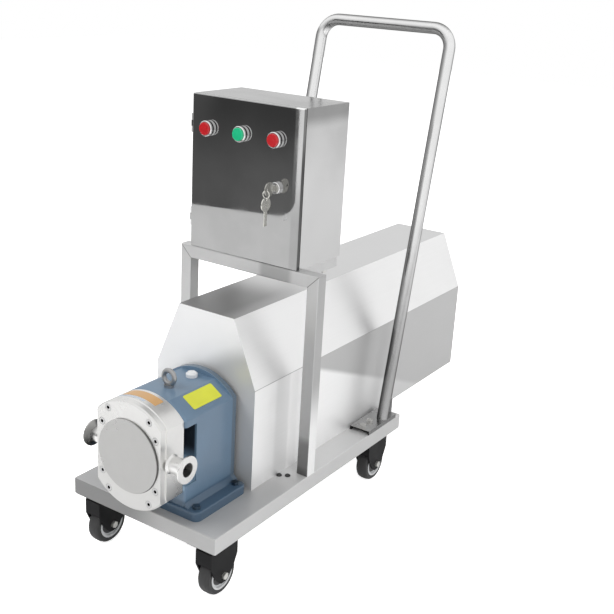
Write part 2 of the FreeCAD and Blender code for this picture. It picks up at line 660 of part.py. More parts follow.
def frame_bolts():
    bolts = [hex_bolt(f"deck_bolt_{i}", x, y, "deck + " + held, held + " + tray_wall")
             for i, (x, y, held) in enumerate(FOOT_BOLTS + BED_BOLTS + GRIP_BOLTS)]
    bolts += [hex_bolt(f"box_bolt_{i}", x, y, "gate_top + box_sheet", "box_sheet + shelf_tube")
              for i, (x, y) in enumerate(BOX_BOLTS)]
    return named("frame_bolts", group("frame_bolts", bolts))


# Casters: name, across, swivel axis and axle front to back
CASTERS = [("front_left", "-caster_x", "front_swivel_y", "front_axle_y"),
           ("front_right", "caster_x", "front_swivel_y", "front_axle_y"),
           ("rear_left", "-caster_x", "rear_swivel_y", "rear_axle_y"),
           ("rear_right", "caster_x", "rear_swivel_y", "rear_axle_y")]


def caster_plate(name, x, y):
    """Top plate, race cup and kingpin of one caster."""
    plate = block(name + "_plate", ("pad_width", "pad_length", "pad_thick"),
                  (x + " - pad_width / 2", y + " - pad_length / 2", "caster_height - pad_thick"))
    pin_reach = "caster_height - pad_thick - crown_under + race_gap + head_thick"
    profile = [("0", "0"), ("kingpin_head", "0"), ("kingpin_head", "head_thick"),
               ("kingpin_radius", "head_thick"), ("kingpin_radius", pin_reach + " - race_height"),
               ("race_radius", pin_reach + " - race_height"), ("race_radius + race_flare", pin_reach),
               ("0", pin_reach)]
    cup = turned(name + "_cup", profile, (x, y, "crown_under - race_gap - head_thick"))
    return fuse(name + "_top", [plate, cup])


def fork(name, x, y, axle_y):
    """Pressed fork with its apron over the wheel, its wheel bolt and nuts."""
    slope = "boss_radius * 0.65"
    half = [("fork_reach - crown_soft", "crown_top"), ("fork_reach", "crown_top - crown_soft"),
            ("fork_reach", "apron_foot"), ("fork_waist", "axle_z + " + slope),
            ("boss_radius", "axle_z - " + slope), ("boss_radius / 2", "axle_z - boss_radius")]
    outline = half + [("-(" + across + ")", up) for across, up in reversed(half)]
    sides = padded(name + "_sides", outline, "2 * fork_half", (x + " - fork_half", axle_y, "0"), SIDE_VIEW)
    inner_x = x + " - tyre_width / 2 - fork_gap"
    inner = "tyre_width + 2 * fork_gap"
    slot = block(name + "_slot", (inner, "wheel_diameter * 2", "apron_foot"),
                 (inner_x, axle_y + " - wheel_diameter", "0"))
    hollow = block(name + "_hollow", (inner, "2 * (fork_reach - fork_sheet)", "crown_under"),
                   (inner_x, axle_y + " - fork_reach + fork_sheet", "0"))
    pivot = rod(name + "_pivot", "kingpin_radius + spin_gap", "caster_height", (x, y, "axle_z"))
    shell = cut(name + "_shell", sides, [slot, hollow, pivot])
    axle = rod(name + "_axle", "axle_radius", "2 * fork_half + 2 * nut_thick",
               (x + " - fork_half - nut_thick", axle_y, "axle_z"), ALONG_X)
    nuts = [hexagon(name + "_nut_" + end, "nut_radius", "nut_thick", (x + shift, axle_y, "axle_z"), ALONG_X)
            for end, shift in (("left", " - fork_half - nut_thick"), ("right", " + fork_half"))]
    return named(name + "_fork", fuse(name + "_fork", [shell, axle] + nuts))


def wheel(name, x, axle_y):
    """Tyre and hub, both turned about the axle."""
    at = (x, axle_y, "axle_z")
    edge = "tyre_width / 2"
    tread = "wheel_diameter / 2"
    tyre = [("rim_radius", "-" + edge), (tread + " - tyre_round", "-" + edge),
            (tread + " - tyre_round * 0.3", "tyre_round * 0.7 - " + edge), (tread,
                                                                            "tyre_round * 2 - " + edge),
            (tread, edge + " - tyre_round * 2"), (tread + " - tyre_round * 0.3",
                                                  edge + " - tyre_round * 0.7"),
            (tread + " - tyre_round", edge), ("rim_radius", edge)]
    named(name + "_tyre", turned(name + "_tyre", tyre, at, ALONG_X))
    bore = "axle_radius + spin_gap"
    hub = []
    for sign, order in (("-", 1), ("", -1)):
        half = [(bore, sign + "(" + edge + " + boss_proud)"),
                ("hub_boss", sign + "(" + edge + " + boss_proud)"),
                ("hub_boss + 1", sign + "(" + edge + " - web_inset)"),
                ("rim_radius - rim_ring", sign + "(" + edge + " - web_inset)"),
                ("rim_radius - rim_ring", sign + "(" + edge + " + rim_proud)"),
                ("rim_radius", sign + "(" + edge + " + rim_proud)")]
        hub += half[::order]
    named(name + "_hub", turned(name + "_hub", hub, at, ALONG_X))


def casters():
    plates = [caster_plate(name, x, y) for name, x, y, axle_y in CASTERS]
    named("caster_plates", group("caster_plates", plates))
    for name, x, y, axle_y in CASTERS:
        fork(name, x, y, axle_y)
        wheel(name, x, axle_y)


def handle_run(name, radius):
    """The bent tube as one round bar, in its own leaning frame with Z up the leg."""
    leg = "sqrt(grip_rise * grip_rise + grip_run * grip_run)"
    pieces = []
    for end, x, bend_x, start in (("left", "-grip_half", "grip_bend - grip_half", 90),
                                  ("right", "grip_half", "grip_half - grip_bend", 0)):
        pieces.append(rod(name + "_leg_" + end, radius, leg + " - grip_bend + grip_stub",
                          (x, "0", "-grip_stub")))
        upright = Rotation(Vector(1, 0, 0), 90)
        arc = ring(name + "_bend_" + end, "grip_bend", radius, (bend_x, "0", leg + " - grip_bend"),
                   upright.multiply(Rotation(Vector(0, 0, 1), start)), 90)
        pieces.append(arc)
    pieces.append(rod(name + "_bar", radius, "2 * (grip_half - grip_bend)",
                      ("grip_bend - grip_half", "0", leg), ALONG_X))
    return fuse(name, pieces)


def handle_tube():
    pipe = cut("handle_pipe", handle_run("handle_out", "grip_radius"),
               [handle_run("handle_in", "grip_radius - grip_wall")])
    lean = math.degrees(math.atan2(size("grip_run"), size("grip_rise")))
    seat(pipe, ("0", "grip_y", "deck"), Rotation(Vector(1, 0, 0), -lean))
    below = block("handle_trim", ("4 * grip_half", "8 * grip_radius", "2 * grip_stub"),
                  ("-2 * grip_half", "grip_y - 4 * grip_radius", "deck + bracket_height - 2 * grip_stub"))
    return named("handle_tube", cut("handle_tube", pipe, [below]))


def handle_bracket(end, sign):
    """Folded foot under a handle leg, with an upright web behind the leg."""
    left = sign + "bracket_x - bracket_width / 2"
    length = "bracket_front + bracket_back"
    outside = block(end + "_bracket_out", ("bracket_width", length, "bracket_height"),
                    (left, "grip_y - bracket_front", "deck"))
    inside = block(end + "_bracket_in",
                   ("bracket_width - 2 * bracket_sheet", length, "bracket_height - bracket_sheet"),
                   (left + " + bracket_sheet", "grip_y - bracket_front", "deck"))
    holes = [rod(f"{end}_bracket_hole_{i}", "bolt_radius + bolt_play", "bracket_height + 2 * overcut",
                 (bolt_x, y, "deck - overcut"))
             for i, (bolt_x, y, grip) in enumerate(GRIP_BOLTS) if bolt_x.startswith("-") == bool(sign)]
    shell = cut(end + "_bracket_shell", outside, [inside] + holes)
    foot = "grip_radius + web_gap"
    outline = [(foot, "0"), ("bracket_back", "0"), ("bracket_back", "gusset_height * 0.75"),
               ("bracket_back - web_ease", "gusset_height"), (foot + " + web_ease", "gusset_height")]
    web = padded(end + "_web", outline, "bracket_sheet",
                 (sign + "grip_half - bracket_sheet / 2", "grip_y", "deck + bracket_height"), SIDE_VIEW)
    return fuse(end + "_bracket", [shell, web])


def handle_brackets():
    feet = [handle_bracket("left", "-"), handle_bracket("right", "")]
    return named("handle_brackets", group("handle_brackets", feet))


def stand_run(name, inset, foot):
    """The gate of square tube as solid bars, inset by the wall for the hollow."""
    width = "gate_tube - 2 * " + inset
    y = "gate_y + " + inset
    left = block(name + "_left", (width, width, "gate_height - " + inset), ("gate_left + " + inset, y, foot))
    right = block(name + "_right", (width, width, "gate_height - " + inset),
                  ("gate_left + gate_width - gate_tube + " + inset, y, foot))
    rail = block(name + "_rail", ("gate_width - 2 * " + inset, width, width),
                 ("gate_left + " + inset, y, "gate_top - gate_tube + " + inset))
    return fuse(name, [left, right, rail])


def stand_frame():
    bars = stand_run("stand_out", "0 * gate_wall", "deck")
    outside = rounded("stand_soft", bars, size("gate_round"),
                      lambda edge: edge.Length > 2 * size("gate_tube"))
    tube = cut("stand_tube", outside, [stand_run("stand_in", "gate_wall", "deck")])
    arms = []
    for i, (x, y) in enumerate(BOX_BOLTS):
        length = "box_depth - gate_tube - shelf_short"
        bar = block(f"shelf_{i}", ("shelf_tube", length, "shelf_tube"),
                    (x + " - shelf_tube / 2", "gate_y + gate_tube", "gate_top - shelf_tube"))
        inner = "shelf_tube - 2 * gate_wall"
        hollow = block(f"shelf_hollow_{i}", (inner, length, inner),
                       (x + " - shelf_tube / 2 + gate_wall", "gate_y + gate_tube",
                        "gate_top - shelf_tube + gate_wall"))
        hole = rod(f"shelf_hole_{i}", "bolt_radius + bolt_play", "2 * shelf_tube",
                   (x, y, "gate_top - 1.5 * shelf_tube"))
        arms.append(cut(f"shelf_arm_{i}", bar, [hollow, hole]))
    return named("stand_frame", fuse("stand_frame", [tube] + arms))


def hood_outline(inset):
    """Upright sides, slanted shoulders and a flat top; inset is the distance inwards."""
    slant = "sqrt((hood_half - hood_flat)^2 + (hood_rise - hood_side)^2)"
    lower = "hood_side - " + inset + " * (" + slant + " - hood_rise + hood_side) / (hood_half - hood_flat)"
    upper = "hood_flat - " + inset + " * (" + slant + " - hood_half + hood_flat) / (hood_rise - hood_side)"
    side = "hood_half - " + inset
    top = "hood_rise - " + inset
    return [("-(" + side + ")", "0"), (side, "0"), (side, lower), (upper, top),
            ("-(" + upper + ")", top), ("-(" + side + ")", lower)]


def motor_hood():
    outside = padded("hood_out", hood_outline("0 * hood_sheet"), "hood_length",
                     ("0", "hood_back", "deck"), FRONT_VIEW)
    inside = padded("hood_in", hood_outline("hood_sheet"), "hood_length - 2 * hood_sheet",
                    ("0", "hood_back - hood_sheet", "deck"), FRONT_VIEW)
    mouth = obround("hood_mouth", "room_radius + cover_lip + mouth_gap", "2 * overcut",
                    "hood_front - overcut")
    slots = [block(f"hood_louvre_{i}", ("louvre_length", "2 * overcut", "louvre_height"),
                   ("-louvre_length / 2", "hood_back - overcut", f"deck + louvre_rise + {i} * louvre_pitch"))
             for i in range(int(size("louvre_count")))]
    return named("motor_hood", cut("motor_hood", outside, [inside, mouth] + slots))


def box_shell(name, y, depth, inset):
    """A block of the box's outline, brought in on every side but one."""
    return block(name, ("box_width - 2 * " + inset, depth, "box_height - 2 * " + inset),
                 ("box_left + " + inset, y, "gate_top + " + inset))


def enclosure_body():
    """Back, sides and lips of the box as flat sheets that meet at their edges."""
    deep = "box_back - box_sheet - mouth_y"
    wide = "box_width - 2 * box_sheet"
    right = "box_left + box_width"
    back = block("box_rear", ("box_width", "box_sheet", "box_height"),
                 ("box_left", "box_back - box_sheet", "gate_top"))
    gland = rod("box_gland_hole", "gland_radius + hole_play", "2 * overcut",
                ("box_shift", "box_back - overcut", "gland_z"), ALONG_Y)
    sheets = [cut("box_back_sheet", back, [gland])]
    for side, x in (("left", "box_left"), ("right", right + " - box_sheet")):
        sheets.append(block("box_side_" + side, ("box_sheet", deep, "box_height"),
                            (x, "mouth_y", "gate_top")))
    sheets.append(block("box_roof", (wide, deep, "box_sheet"),
                        ("box_left + box_sheet", "mouth_y", "box_top - box_sheet")))
    floor = block("box_floor", (wide, deep, "box_sheet"), ("box_left + box_sheet", "mouth_y", "gate_top"))
    holes = [rod(f"box_hole_{i}", "bolt_radius + bolt_play", "2 * overcut", (x, y, "gate_top - overcut"))
             for i, (x, y) in enumerate(BOX_BOLTS)]
    sheets.append(cut("box_floor_sheet", floor, holes))
    for side, x in (("left", "box_left + box_sheet"), ("right", right + " - box_lip")):
        sheets.append(block("box_lip_" + side,
                            ("box_lip - box_sheet", "box_sheet", "box_height - 2 * box_sheet"),
                            (x, "mouth_y", "gate_top + box_sheet")))
    for side, z in (("lower", "gate_top + box_sheet"), ("upper", "box_top - box_lip")):
        sheets.append(block("box_lip_" + side,
                            ("box_width - 2 * box_lip", "box_sheet", "box_lip - box_sheet"),
                            ("box_left + box_lip", "mouth_y", z)))
    return named("enclosure_body", group("enclosure_body", sheets))


# Hinges sit near the top and the bottom of the box
HINGES = [("lower", "gate_top + hinge_inset"), ("upper", "box_top - hinge_inset - hinge_length")]


def door_hinges():
    """Pin, the two fixed knuckles and the leaf on the box."""
    pieces = []
    for end, z in HINGES:
        parts = [rod(end + "_pin", "hinge_pin", "hinge_length", ("hinge_x", "hinge_y", z))]
        for i, start in enumerate(("0", "hinge_length * 2 / 3")):
            parts.append(rod(f"{end}_knuckle_{i}", "hinge_radius", "hinge_length / 3",
                             ("hinge_x", "hinge_y", z + " + " + start)))
            parts.append(block(f"{end}_leaf_{i}", ("box_left - hinge_x", "hinge_leaf", "hinge_length / 3"),
                               ("hinge_x", "hinge_y + hinge_clear", z + " + " + start)))
        pieces.append(fuse(end + "_hinge", parts))
    return named("door_hinges", group("door_hinges", pieces))


def button_x(i):
    return f"box_shift + button_first + {i} * button_pitch"


def enclosure_door():
    outside = box_shell("door_out", "gate_y", "door_depth", "0 * box_sheet")
    front = size("gate_y")
    soft = rounded("door_soft", outside, size("door_round"),
                   lambda edge: runs_along(edge, Vector(0, 1, 0)) or edge.CenterOfMass.y < front + 0.1)
    inside = box_shell("door_in", "gate_y + box_sheet", "door_depth", "box_sheet")
    holes = [rod(f"door_hole_{i}", "button_hole", "2 * overcut",
                 (button_x(i), "gate_y - overcut", "button_z"),
                 ALONG_Y)
             for i in range(3)]
    holes.append(rod("door_lock_hole", "lock_radius - lock_neck + hole_play", "2 * overcut",
                     ("lock_x", "gate_y - overcut", "lock_z"), ALONG_Y))
    pan = cut("door_pan", soft, [inside] + holes)
    parts = [pan]
    for end, z in HINGES:
        middle = z + " + hinge_length / 3 + hinge_slip"
        height = "hinge_length / 3 - 2 * hinge_slip"
        ear = rod(end + "_ear", "hinge_radius", height, ("hinge_x", "hinge_y", middle))
        arm = block(end + "_arm", ("hinge_radius + 1", "hinge_y - hinge_clear - gate_y - door_round", height),
                    ("hinge_x", "gate_y + door_round", middle))
        tie = fuse(end + "_ear_arm", [ear, arm])
        bore = rod(end + "_ear_bore", "hinge_pin + spin_gap", "hinge_length", ("hinge_x", "hinge_y", z))
        parts.append(cut(end + "_ear_bored", tie, [bore]))
    return named("enclosure_door", fuse("enclosure_door", parts))


def door_gasket():
    """Foam strip inside the door that meets the lip of the box."""
    strip = box_shell("gasket_out", "gate_y + box_sheet", "mouth_y - gate_y - box_sheet - gasket_play",
                      "(box_sheet + gasket_margin)")
    middle = box_shell("gasket_in", "gate_y", "box_depth", "(box_lip - gasket_margin)")
    return named("door_gasket", cut("door_gasket", strip, [middle]))


def mounting_plate():
    """Plate on stand-offs in the back of the box."""
    width = "box_width - 2 * panel_margin"
    height = "box_height - panel_margin - panel_foot"
    y = "box_back - box_sheet - panel_gap - panel_thick"
    plate = block("panel_sheet", (width, "panel_thick", height),
                  ("box_left + panel_margin", y, "gate_top + panel_foot"))
    posts = [rod(f"panel_post_{i}{j}", "post_radius", "panel_gap", (x, y + " + panel_thick", z), ALONG_Y)
             for i, x in enumerate(("box_left + panel_margin + post_inset",
                                 "box_left + box_width - panel_margin - post_inset"))
             for j, z in enumerate(("gate_top + panel_foot + post_inset",
                                    "box_top - panel_margin - post_inset"))]
    return named("mounting_plate", fuse("mounting_plate", [plate] + posts))


# Switchgear: name, from the left of the box, width, depth, foot below the top of the box, height
MODULES = [("breaker", "52", "36", "62", "157", "85"), ("contactor", "96", "45", "72", "155", "80"),
           ("relay", "149", "45", "66", "155", "76")]
TERMINALS = 10


def switchgear():
    """Rails with contactor, overload relay, small breaker and terminal row."""
    face = "box_back - box_sheet - panel_gap - panel_thick"
    parts = []
    for i, z in enumerate(("box_top - rail_drop", "gate_top + rail_rise")):
        parts.append(block(f"rail_{i}", ("box_width - 2 * rail_inset", "rail_depth", "rail_height"),
                           ("box_left + rail_inset", face + " - rail_depth", z)))
    for name, across, width, depth, drop, height in MODULES:
        parts.append(block(name, (width, depth, height),
                           ("box_left + " + across, face + " - rail_depth - " + depth, "box_top - " + drop)))
    rise = "gate_top + rail_rise + (rail_height - terminal_height) / 2"
    for i in range(TERMINALS):
        parts.append(block(f"terminal_{i}",
                           ("terminal_pitch - terminal_gap", "terminal_depth", "terminal_height"),
                           (f"box_left + terminal_inset + {i} * terminal_pitch",
                            face + " - rail_depth - terminal_depth", rise)))
    return named("switchgear", group("switchgear", parts))


def box_gland():
    """Cable gland in the back wall of the box, with its lock nut inside."""
    start = "box_back - box_sheet - gland_nut"
    body = rod("gland_body", "gland_radius", "gland_length", ("box_shift", start, "gland_z"), ALONG_Y)
    nut = hexagon("gland_lock_nut", "gland_hex", "gland_nut", ("box_shift", start, "gland_z"), ALONG_Y)
    collar = hexagon("gland_collar", "gland_hex", "gland_collar", ("box_shift", "box_back", "gland_z"),
                     ALONG_Y)
    dome = turned("gland_dome", [("0", "0"), ("gland_hex - gland_ease / 2", "0"),
                                 ("gland_hex - gland_ease / 2", "gland_dome - gland_ease"),
                                 ("gland_radius", "gland_dome"), ("0", "gland_dome")],
                  ("box_shift", "box_back + gland_collar", "gland_z"), ALONG_Y)
    bore = rod("gland_way", "gland_bore", "2 * gland_length", ("box_shift", start + " - 1", "gland_z"),
               ALONG_Y)
    return named("box_gland", cut("box_gland", fuse("gland_solid", [body, nut, collar, dome]), [bore]))


def button_bezels():
    rings = []
    for i in range(3):
        at = (button_x(i), "gate_y - bezel_height", "button_z")
        profile = [("cap_radius + bezel_play", "0"), ("bezel_radius - bezel_ease", "0"),
                   ("bezel_radius", "bezel_ease"),
                   ("bezel_radius", "bezel_height"), ("button_hole - hole_play", "bezel_height"),
                   ("button_hole - hole_play", "bezel_height + box_sheet + bezel_tail"),
                   ("stem_radius + bezel_play", "bezel_height + box_sheet + bezel_tail"),
                   ("stem_radius + bezel_play", "bezel_height - bezel_floor"),
                   ("cap_radius + bezel_play", "bezel_height - bezel_floor")]
        rings.append(turned(f"bezel_{i}", profile, at, ALONG_Y))
    return named("button_bezels", group("button_bezels", rings))


def button_caps():
    travel = "bezel_height - bezel_floor - cap_depth + cap_proud"
    for i, label in enumerate(("left_stop_button", "start_button", "right_stop_button")):
        at = (button_x(i), "gate_y - bezel_height - cap_proud", "button_z")
        profile = [("0", "0"), ("cap_radius - bezel_ease", "0"), ("cap_radius", "bezel_ease"),
                   ("cap_radius", "cap_depth"),
                   ("stem_radius", "cap_depth"), ("stem_radius", "cap_depth + " + travel + " + stem_tail"),
                   ("0", "cap_depth + " + travel + " + stem_tail")]
        named(label, turned(label, profile, at, ALONG_Y))


def button_contacts():
    blocks = []
    for i in range(3):
        x = button_x(i)
        solid = block(f"contact_solid_{i}", ("contact_size", "contact_depth", "contact_size"),
                      (x + " - contact_size / 2", "gate_y + box_sheet + bezel_tail",
                       "button_z - contact_size / 2"))
        well = rod(f"contact_well_{i}", "stem_radius + bezel_play", "well_depth",
                   (x, "gate_y + box_sheet + bezel_tail - 1", "button_z"),
                   ALONG_Y)
        blocks.append(cut(f"contact_{i}", solid, [well]))
    return named("button_contacts", group("button_contacts", blocks))


def lock():
    """Barrel through the door, plug and cam that turn in it, and the key."""
    at = ("lock_x", "gate_y - lock_proud", "lock_z")
    bore = "lock_core + spin_gap"
    rear = "lip_y - gate_y + lock_proud"
    barrel = [(bore, "0"), ("lock_radius - 1", "0"), ("lock_radius", "1"), ("lock_radius", "lock_proud"),
              ("lock_radius - lock_neck", "lock_proud"), ("lock_radius - lock_neck", rear), (bore, rear)]
    named("lock_barrel", turned("lock_barrel", barrel, at, ALONG_Y))
    core = rod("lock_plug", "lock_core", rear + " + cam_gap + cam_thick + plug_tail", at, ALONG_Y)
    tongue = block("lock_tongue", ("cam_width", "cam_thick", "cam_reach + lock_core"),
                   ("lock_x - cam_width / 2", "lip_y + cam_gap", "lock_z - cam_reach"))
    slot = block("lock_slot", ("key_thick + 2 * key_play", "key_way + 1", "1.5 * lock_core + 2 * key_play"),
                 ("lock_x - key_thick / 2 - key_play", "gate_y - lock_proud - 1",
                  "lock_z - 0.75 * lock_core - key_play"))
    named("lock_cam", cut("lock_cam", fuse("lock_cam_solid", [core, tongue]), [slot]))
    bow = rod("key_bow_disc", "key_bow", "key_thick", ("lock_x - key_thick / 2", "key_y", "lock_z"), ALONG_X)
    blade = block("key_blade", ("key_thick", "key_reach + key_bow + key_way - 1", "1.5 * lock_core"),
                  ("lock_x - key_thick / 2", "key_y", "lock_z - 0.75 * lock_core"))
    eye = rod("key_eye_hole", "key_eye", "10", ("lock_x - 5", "eye_y", "lock_z"), ALONG_X)
    named("key", cut("key", fuse("key_solid", [bow, blade]), [eye]))


def spare_key():
    """Split ring round the rim of the key's eye, and the second key that hangs on it."""
    named("key_ring", ring("ring_wire_loop", "ring_radius", "ring_wire",
                           ("lock_x", "eye_y", "lock_z - ring_drop"),
                           ALONG_Y))
    eye_z = "lock_z - ring_drop - ring_radius - key_eye + ring_wire + 0.1"
    hang = eye_z + " - key_bow + 4"
    bow = rod("spare_bow", "key_bow", "key_thick", ("lock_x - key_thick / 2", "eye_y", hang), ALONG_X)
    blade = block("spare_blade", ("key_thick", "8", "spare_length + key_bow"),
                  ("lock_x - key_thick / 2", "eye_y - 4", hang + " - spare_length - key_bow"))
    eye = rod("spare_eye", "key_eye", "10", ("lock_x - 5", "eye_y", eye_z), ALONG_X)
    named("spare_key", cut("spare_key", fuse("spare_solid", [bow, blade]), [eye]))


def flat_disc(name, radius, half, y, depth):
    """A disc about the pump centre with its two sides cut flat and its front edge eased."""
    disc = turned(name + "_disc", [("0", "0"), (radius + " - casing_edge", "0"), (radius, "casing_edge"),
                                   (radius, depth), ("0", depth)], ("0", y, "pump_z"), ALONG_Y)
    sides = block(name + "_sides", ("2 * " + half, depth, "3 * " + radius),
                  ("-" + half, y, "pump_z - 1.5 * " + radius))
    return common(name, disc, sides)


SCREWS = [(sx + "screw_wide_x", "pump_z " + sz + " screw_wide_z") for sx in ("-", "") for sz in "+-"]
SCREWS += [(sx + "screw_high_x", "pump_z " + sz + " screw_high_z") for sx in ("-", "") for sz in "+-"]


def front_cover():
    plate = flat_disc("cover_plate", "casing_radius", "cover_half", "cover_y", "cover_thick")
    disc = turned("cover_disc", [("0", "0"), ("disc_radius - 1", "0"), ("disc_radius", "1"),
                                 ("disc_radius", "disc_rise + 2"), ("0", "disc_rise + 2")],
                  ("0", "nose_y", "pump_z"), ALONG_Y)
    tools = []
    for i, (x, z) in enumerate(SCREWS):
        tools.append(rod(f"cover_bore_{i}", "screw_head + 0.5", "screw_sink + overcut",
                         (x, "cover_y - overcut", z), ALONG_Y))
        tools.append(rod(f"cover_hole_{i}", "screw_radius + bolt_play", "cover_thick + 2 * overcut",
                         (x, "cover_y - overcut", z),
                         ALONG_Y))
    groove_out = obround("groove_out", "seal_inner + seal_width + hole_play", "seal_depth + 1",
                         "casing_y - seal_depth")
    groove_in = obround("groove_in", "seal_inner - hole_play", "seal_depth + 1", "casing_y - seal_depth")
    tools.append(cut("cover_groove", groove_out, [groove_in]))
    return named("front_cover", cut("front_cover", fuse("cover_solid", [plate, disc]), tools))


def cover_screws():
    screws = []
    for i, (x, z) in enumerate(SCREWS):
        head = rod(f"screw_head_{i}", "screw_head", "screw_sink", (x, "cover_y", z), ALONG_Y)
        shank = rod(f"screw_shank_{i}", "screw_radius", "cover_thick + screw_grip", (x, "cover_y", z),
                    ALONG_Y)
        socket = hexagon(f"screw_socket_{i}", "screw_radius - 0.5", "socket_depth", (x, "cover_y - 1", z),
                         ALONG_Y)
        screws.append(cut(f"screw_{i}", fuse(f"screw_solid_{i}", [head, shank]), [socket]))
    return named("cover_screws", group("cover_screws", screws))


def cover_seal():
    outer = obround("seal_out", "seal_inner + seal_width", "seal_depth", "casing_y - seal_depth")
    inner = obround("seal_in", "seal_inner", "seal_depth", "casing_y - seal_depth")
    return named("cover_seal", cut("cover_seal", outer, [inner]))


def rotor_casing():
    disc = flat_disc("casing_disc", "casing_radius", "casing_half", "casing_y", "casing_depth")
    face = "port_reach"
    pipe = "port_radius + port_wall"
    root = "chamber_depth / 2 - 0.5"
    profile = [("0", "casing_half - pipe_flare"), (root, "casing_half - pipe_flare"), (root, "casing_half"),
               (pipe + " + 0.75 * pipe_flare", "casing_half"), (pipe, "casing_half + pipe_flare"),
               (pipe, face + " - ferrule_rim - ferrule_slope"), ("ferrule_radius", face + " - ferrule_rim"),
               ("ferrule_radius", face), ("0", face)]
    back = Rotation(Vector(0, 1, 0), -90)
    ports = [turned("port_right", profile, ("0", "port_y", "pump_z"), ALONG_X),
             turned("port_left", profile, ("0", "port_y", "pump_z"), back)]
    chamber = [rod("chamber_" + end, "rotor_radius + rotor_gap", "chamber_depth + 1",
                   ("0", "casing_y - 1", z),
                   ALONG_Y) for end, z in (("upper", "upper_z"), ("lower", "lower_z"))]
    bores = [rod("seal_bore_" + end, "seal_radius + 0.05", "casing_depth", ("0", "casing_y + 5", z), ALONG_Y)
             for end, z in (("upper", "upper_z"), ("lower", "lower_z"))]
    through = rod("port_bore", "port_radius", "2 * (port_reach + overcut)",
                  ("-port_reach - overcut", "port_y", "pump_z"),
                  ALONG_X)
    taps = [rod(f"casing_tap_{i}", "screw_radius + 0.05", "tap_depth", (x, "casing_y - 1", z), ALONG_Y)
            for i, (x, z) in enumerate(SCREWS)]
    throat = rod("port_throat", "port_radius + throat_step", "2 * throat_x",
                 ("-throat_x", "port_y", "pump_z"),
                 ALONG_X)
    solid = fuse("casing_solid", [disc] + ports)
    return named("rotor_casing", cut("rotor_casing", solid, chamber + bores + [through, throat] + taps))


def cycloid_arcs(turn):
    """The rotor's outline: lobes are epicycloid arcs and hollows hypocycloid arcs, set in by the gap."""
    pitch = size("gear_centres") / 2
    count = int(size("lobes"))
    small = pitch / (2 * count)
    gap = size("rotor_gap")
    steps = 8
    arcs = []
    for arc in range(2 * count):
        start = (arc - 0.5) * math.pi / count + turn
        roll = 1 if arc % 2 == 0 else -1
        reach = pitch + roll * small
        points = []
        for step in range(steps + 1):
            angle = step / steps * math.pi / count
            spin = angle * reach / small
            x = reach * math.cos(angle) - roll * small * math.cos(spin)
            z = reach * math.sin(angle) - small * math.sin(spin)
            # the normal runs through the point where the small circle rolls on the large one
            lean = (angle + roll * spin) / 2
            x -= roll * gap * math.sin(lean)
            z += roll * gap * math.cos(lean)
            points.append(Vector(x * math.cos(start) - z * math.sin(start),
                                 x * math.sin(start) + z * math.cos(start), 0))
        arcs.append(points)
    for i, points in enumerate(arcs):
        points[0] = arcs[i - 1][-1]
    return arcs


def rotor(label, centre_z, turn):
    """One lobed rotor with its bore and a recess for its nut."""
    edges = []
    for points in cycloid_arcs(turn):
        curve = Part.BSplineCurve()
        curve.interpolate(points)
        edges.append(curve.toShape())
    depth = size("chamber_depth") - 2 * size("rotor_gap")
    recess_depth = size("recess_depth")
    solid = Part.Face(Part.Wire(edges)).extrude(Vector(0, 0, depth))
    bore = Part.makeCylinder(size("shaft_nose") + 0.02, depth)
    recess = Part.makeCylinder(size("shaft_nose") + 5, recess_depth)
    recess.translate(Vector(0, 0, depth - recess_depth))
    thing = doc.addObject("Part::Feature", label)
    thing.Shape = solid.cut(bore).cut(recess)
    # local Z looks to the front, so the nut's recess is at the far end
    seat(thing, ("0", "chamber_y - rotor_gap", centre_z), FRONT_VIEW)
    return named(label, thing)


def gear_outline(turn):
    """Involute teeth with a little play taken off each flank."""
    module = size("gear_module")
    count = int(size("gear_teeth"))
    pitch = module * count / 2
    base = pitch * math.cos(math.radians(20))
    tip = pitch + module
    root = pitch - 1.25 * module
    half = math.pi / (2 * count) - size("gear_play") / pitch

    def unwound(radius):
        """The involute's polar angle at a radius."""
        roll = math.sqrt(max((radius / base) ** 2 - 1, 0))
        return roll - math.atan(roll)

    def polar(radius, angle):
        return Vector(radius * math.cos(angle), radius * math.sin(angle), 0)

    radii = [base + (tip - base) * i / 3 for i in range(4)]
    lean = [half + unwound(pitch) - unwound(radius) for radius in radii]
    edges = []
    corners = []
    for tooth in range(count):
        middle = 2 * math.pi * tooth / count + turn
        rising = [polar(radius, middle - side) for radius, side in zip(radii, lean)]
        falling = [polar(radius, middle + side) for radius, side in zip(radii, lean)][::-1]
        foot = polar(root, middle - lean[0])
        heel = polar(root, middle + lean[0])
        edges.append(Part.makeLine(foot, rising[0]))
        for run in (rising, falling):
            flank = Part.BSplineCurve()
            flank.interpolate(run)
            edges.append(flank.toShape())
        edges.append(Part.makeLine(rising[-1], falling[0]))
        edges.append(Part.makeLine(falling[-1], heel))
        corners.append((foot, heel))
    for i, (foot, heel) in enumerate(corners):
        edges.append(Part.makeLine(corners[i - 1][1], foot))
    return Part.Wire(Part.__sortEdges__(edges))


def timing_gear(label, centre_z, turn):
    """Timing gear on its shaft."""
    width = size("gear_width")
    solid = Part.Face(gear_outline(turn)).extrude(Vector(0, 0, width))
    bore = Part.makeCylinder(size("shaft_bearing") + 0.02, width)
    thing = doc.addObject("Part::Feature", label)
    thing.Shape = solid.cut(bore)
    seat(thing, ("0", "gear_y + gear_width", centre_z), FRONT_VIEW)
    return named(label, thing)


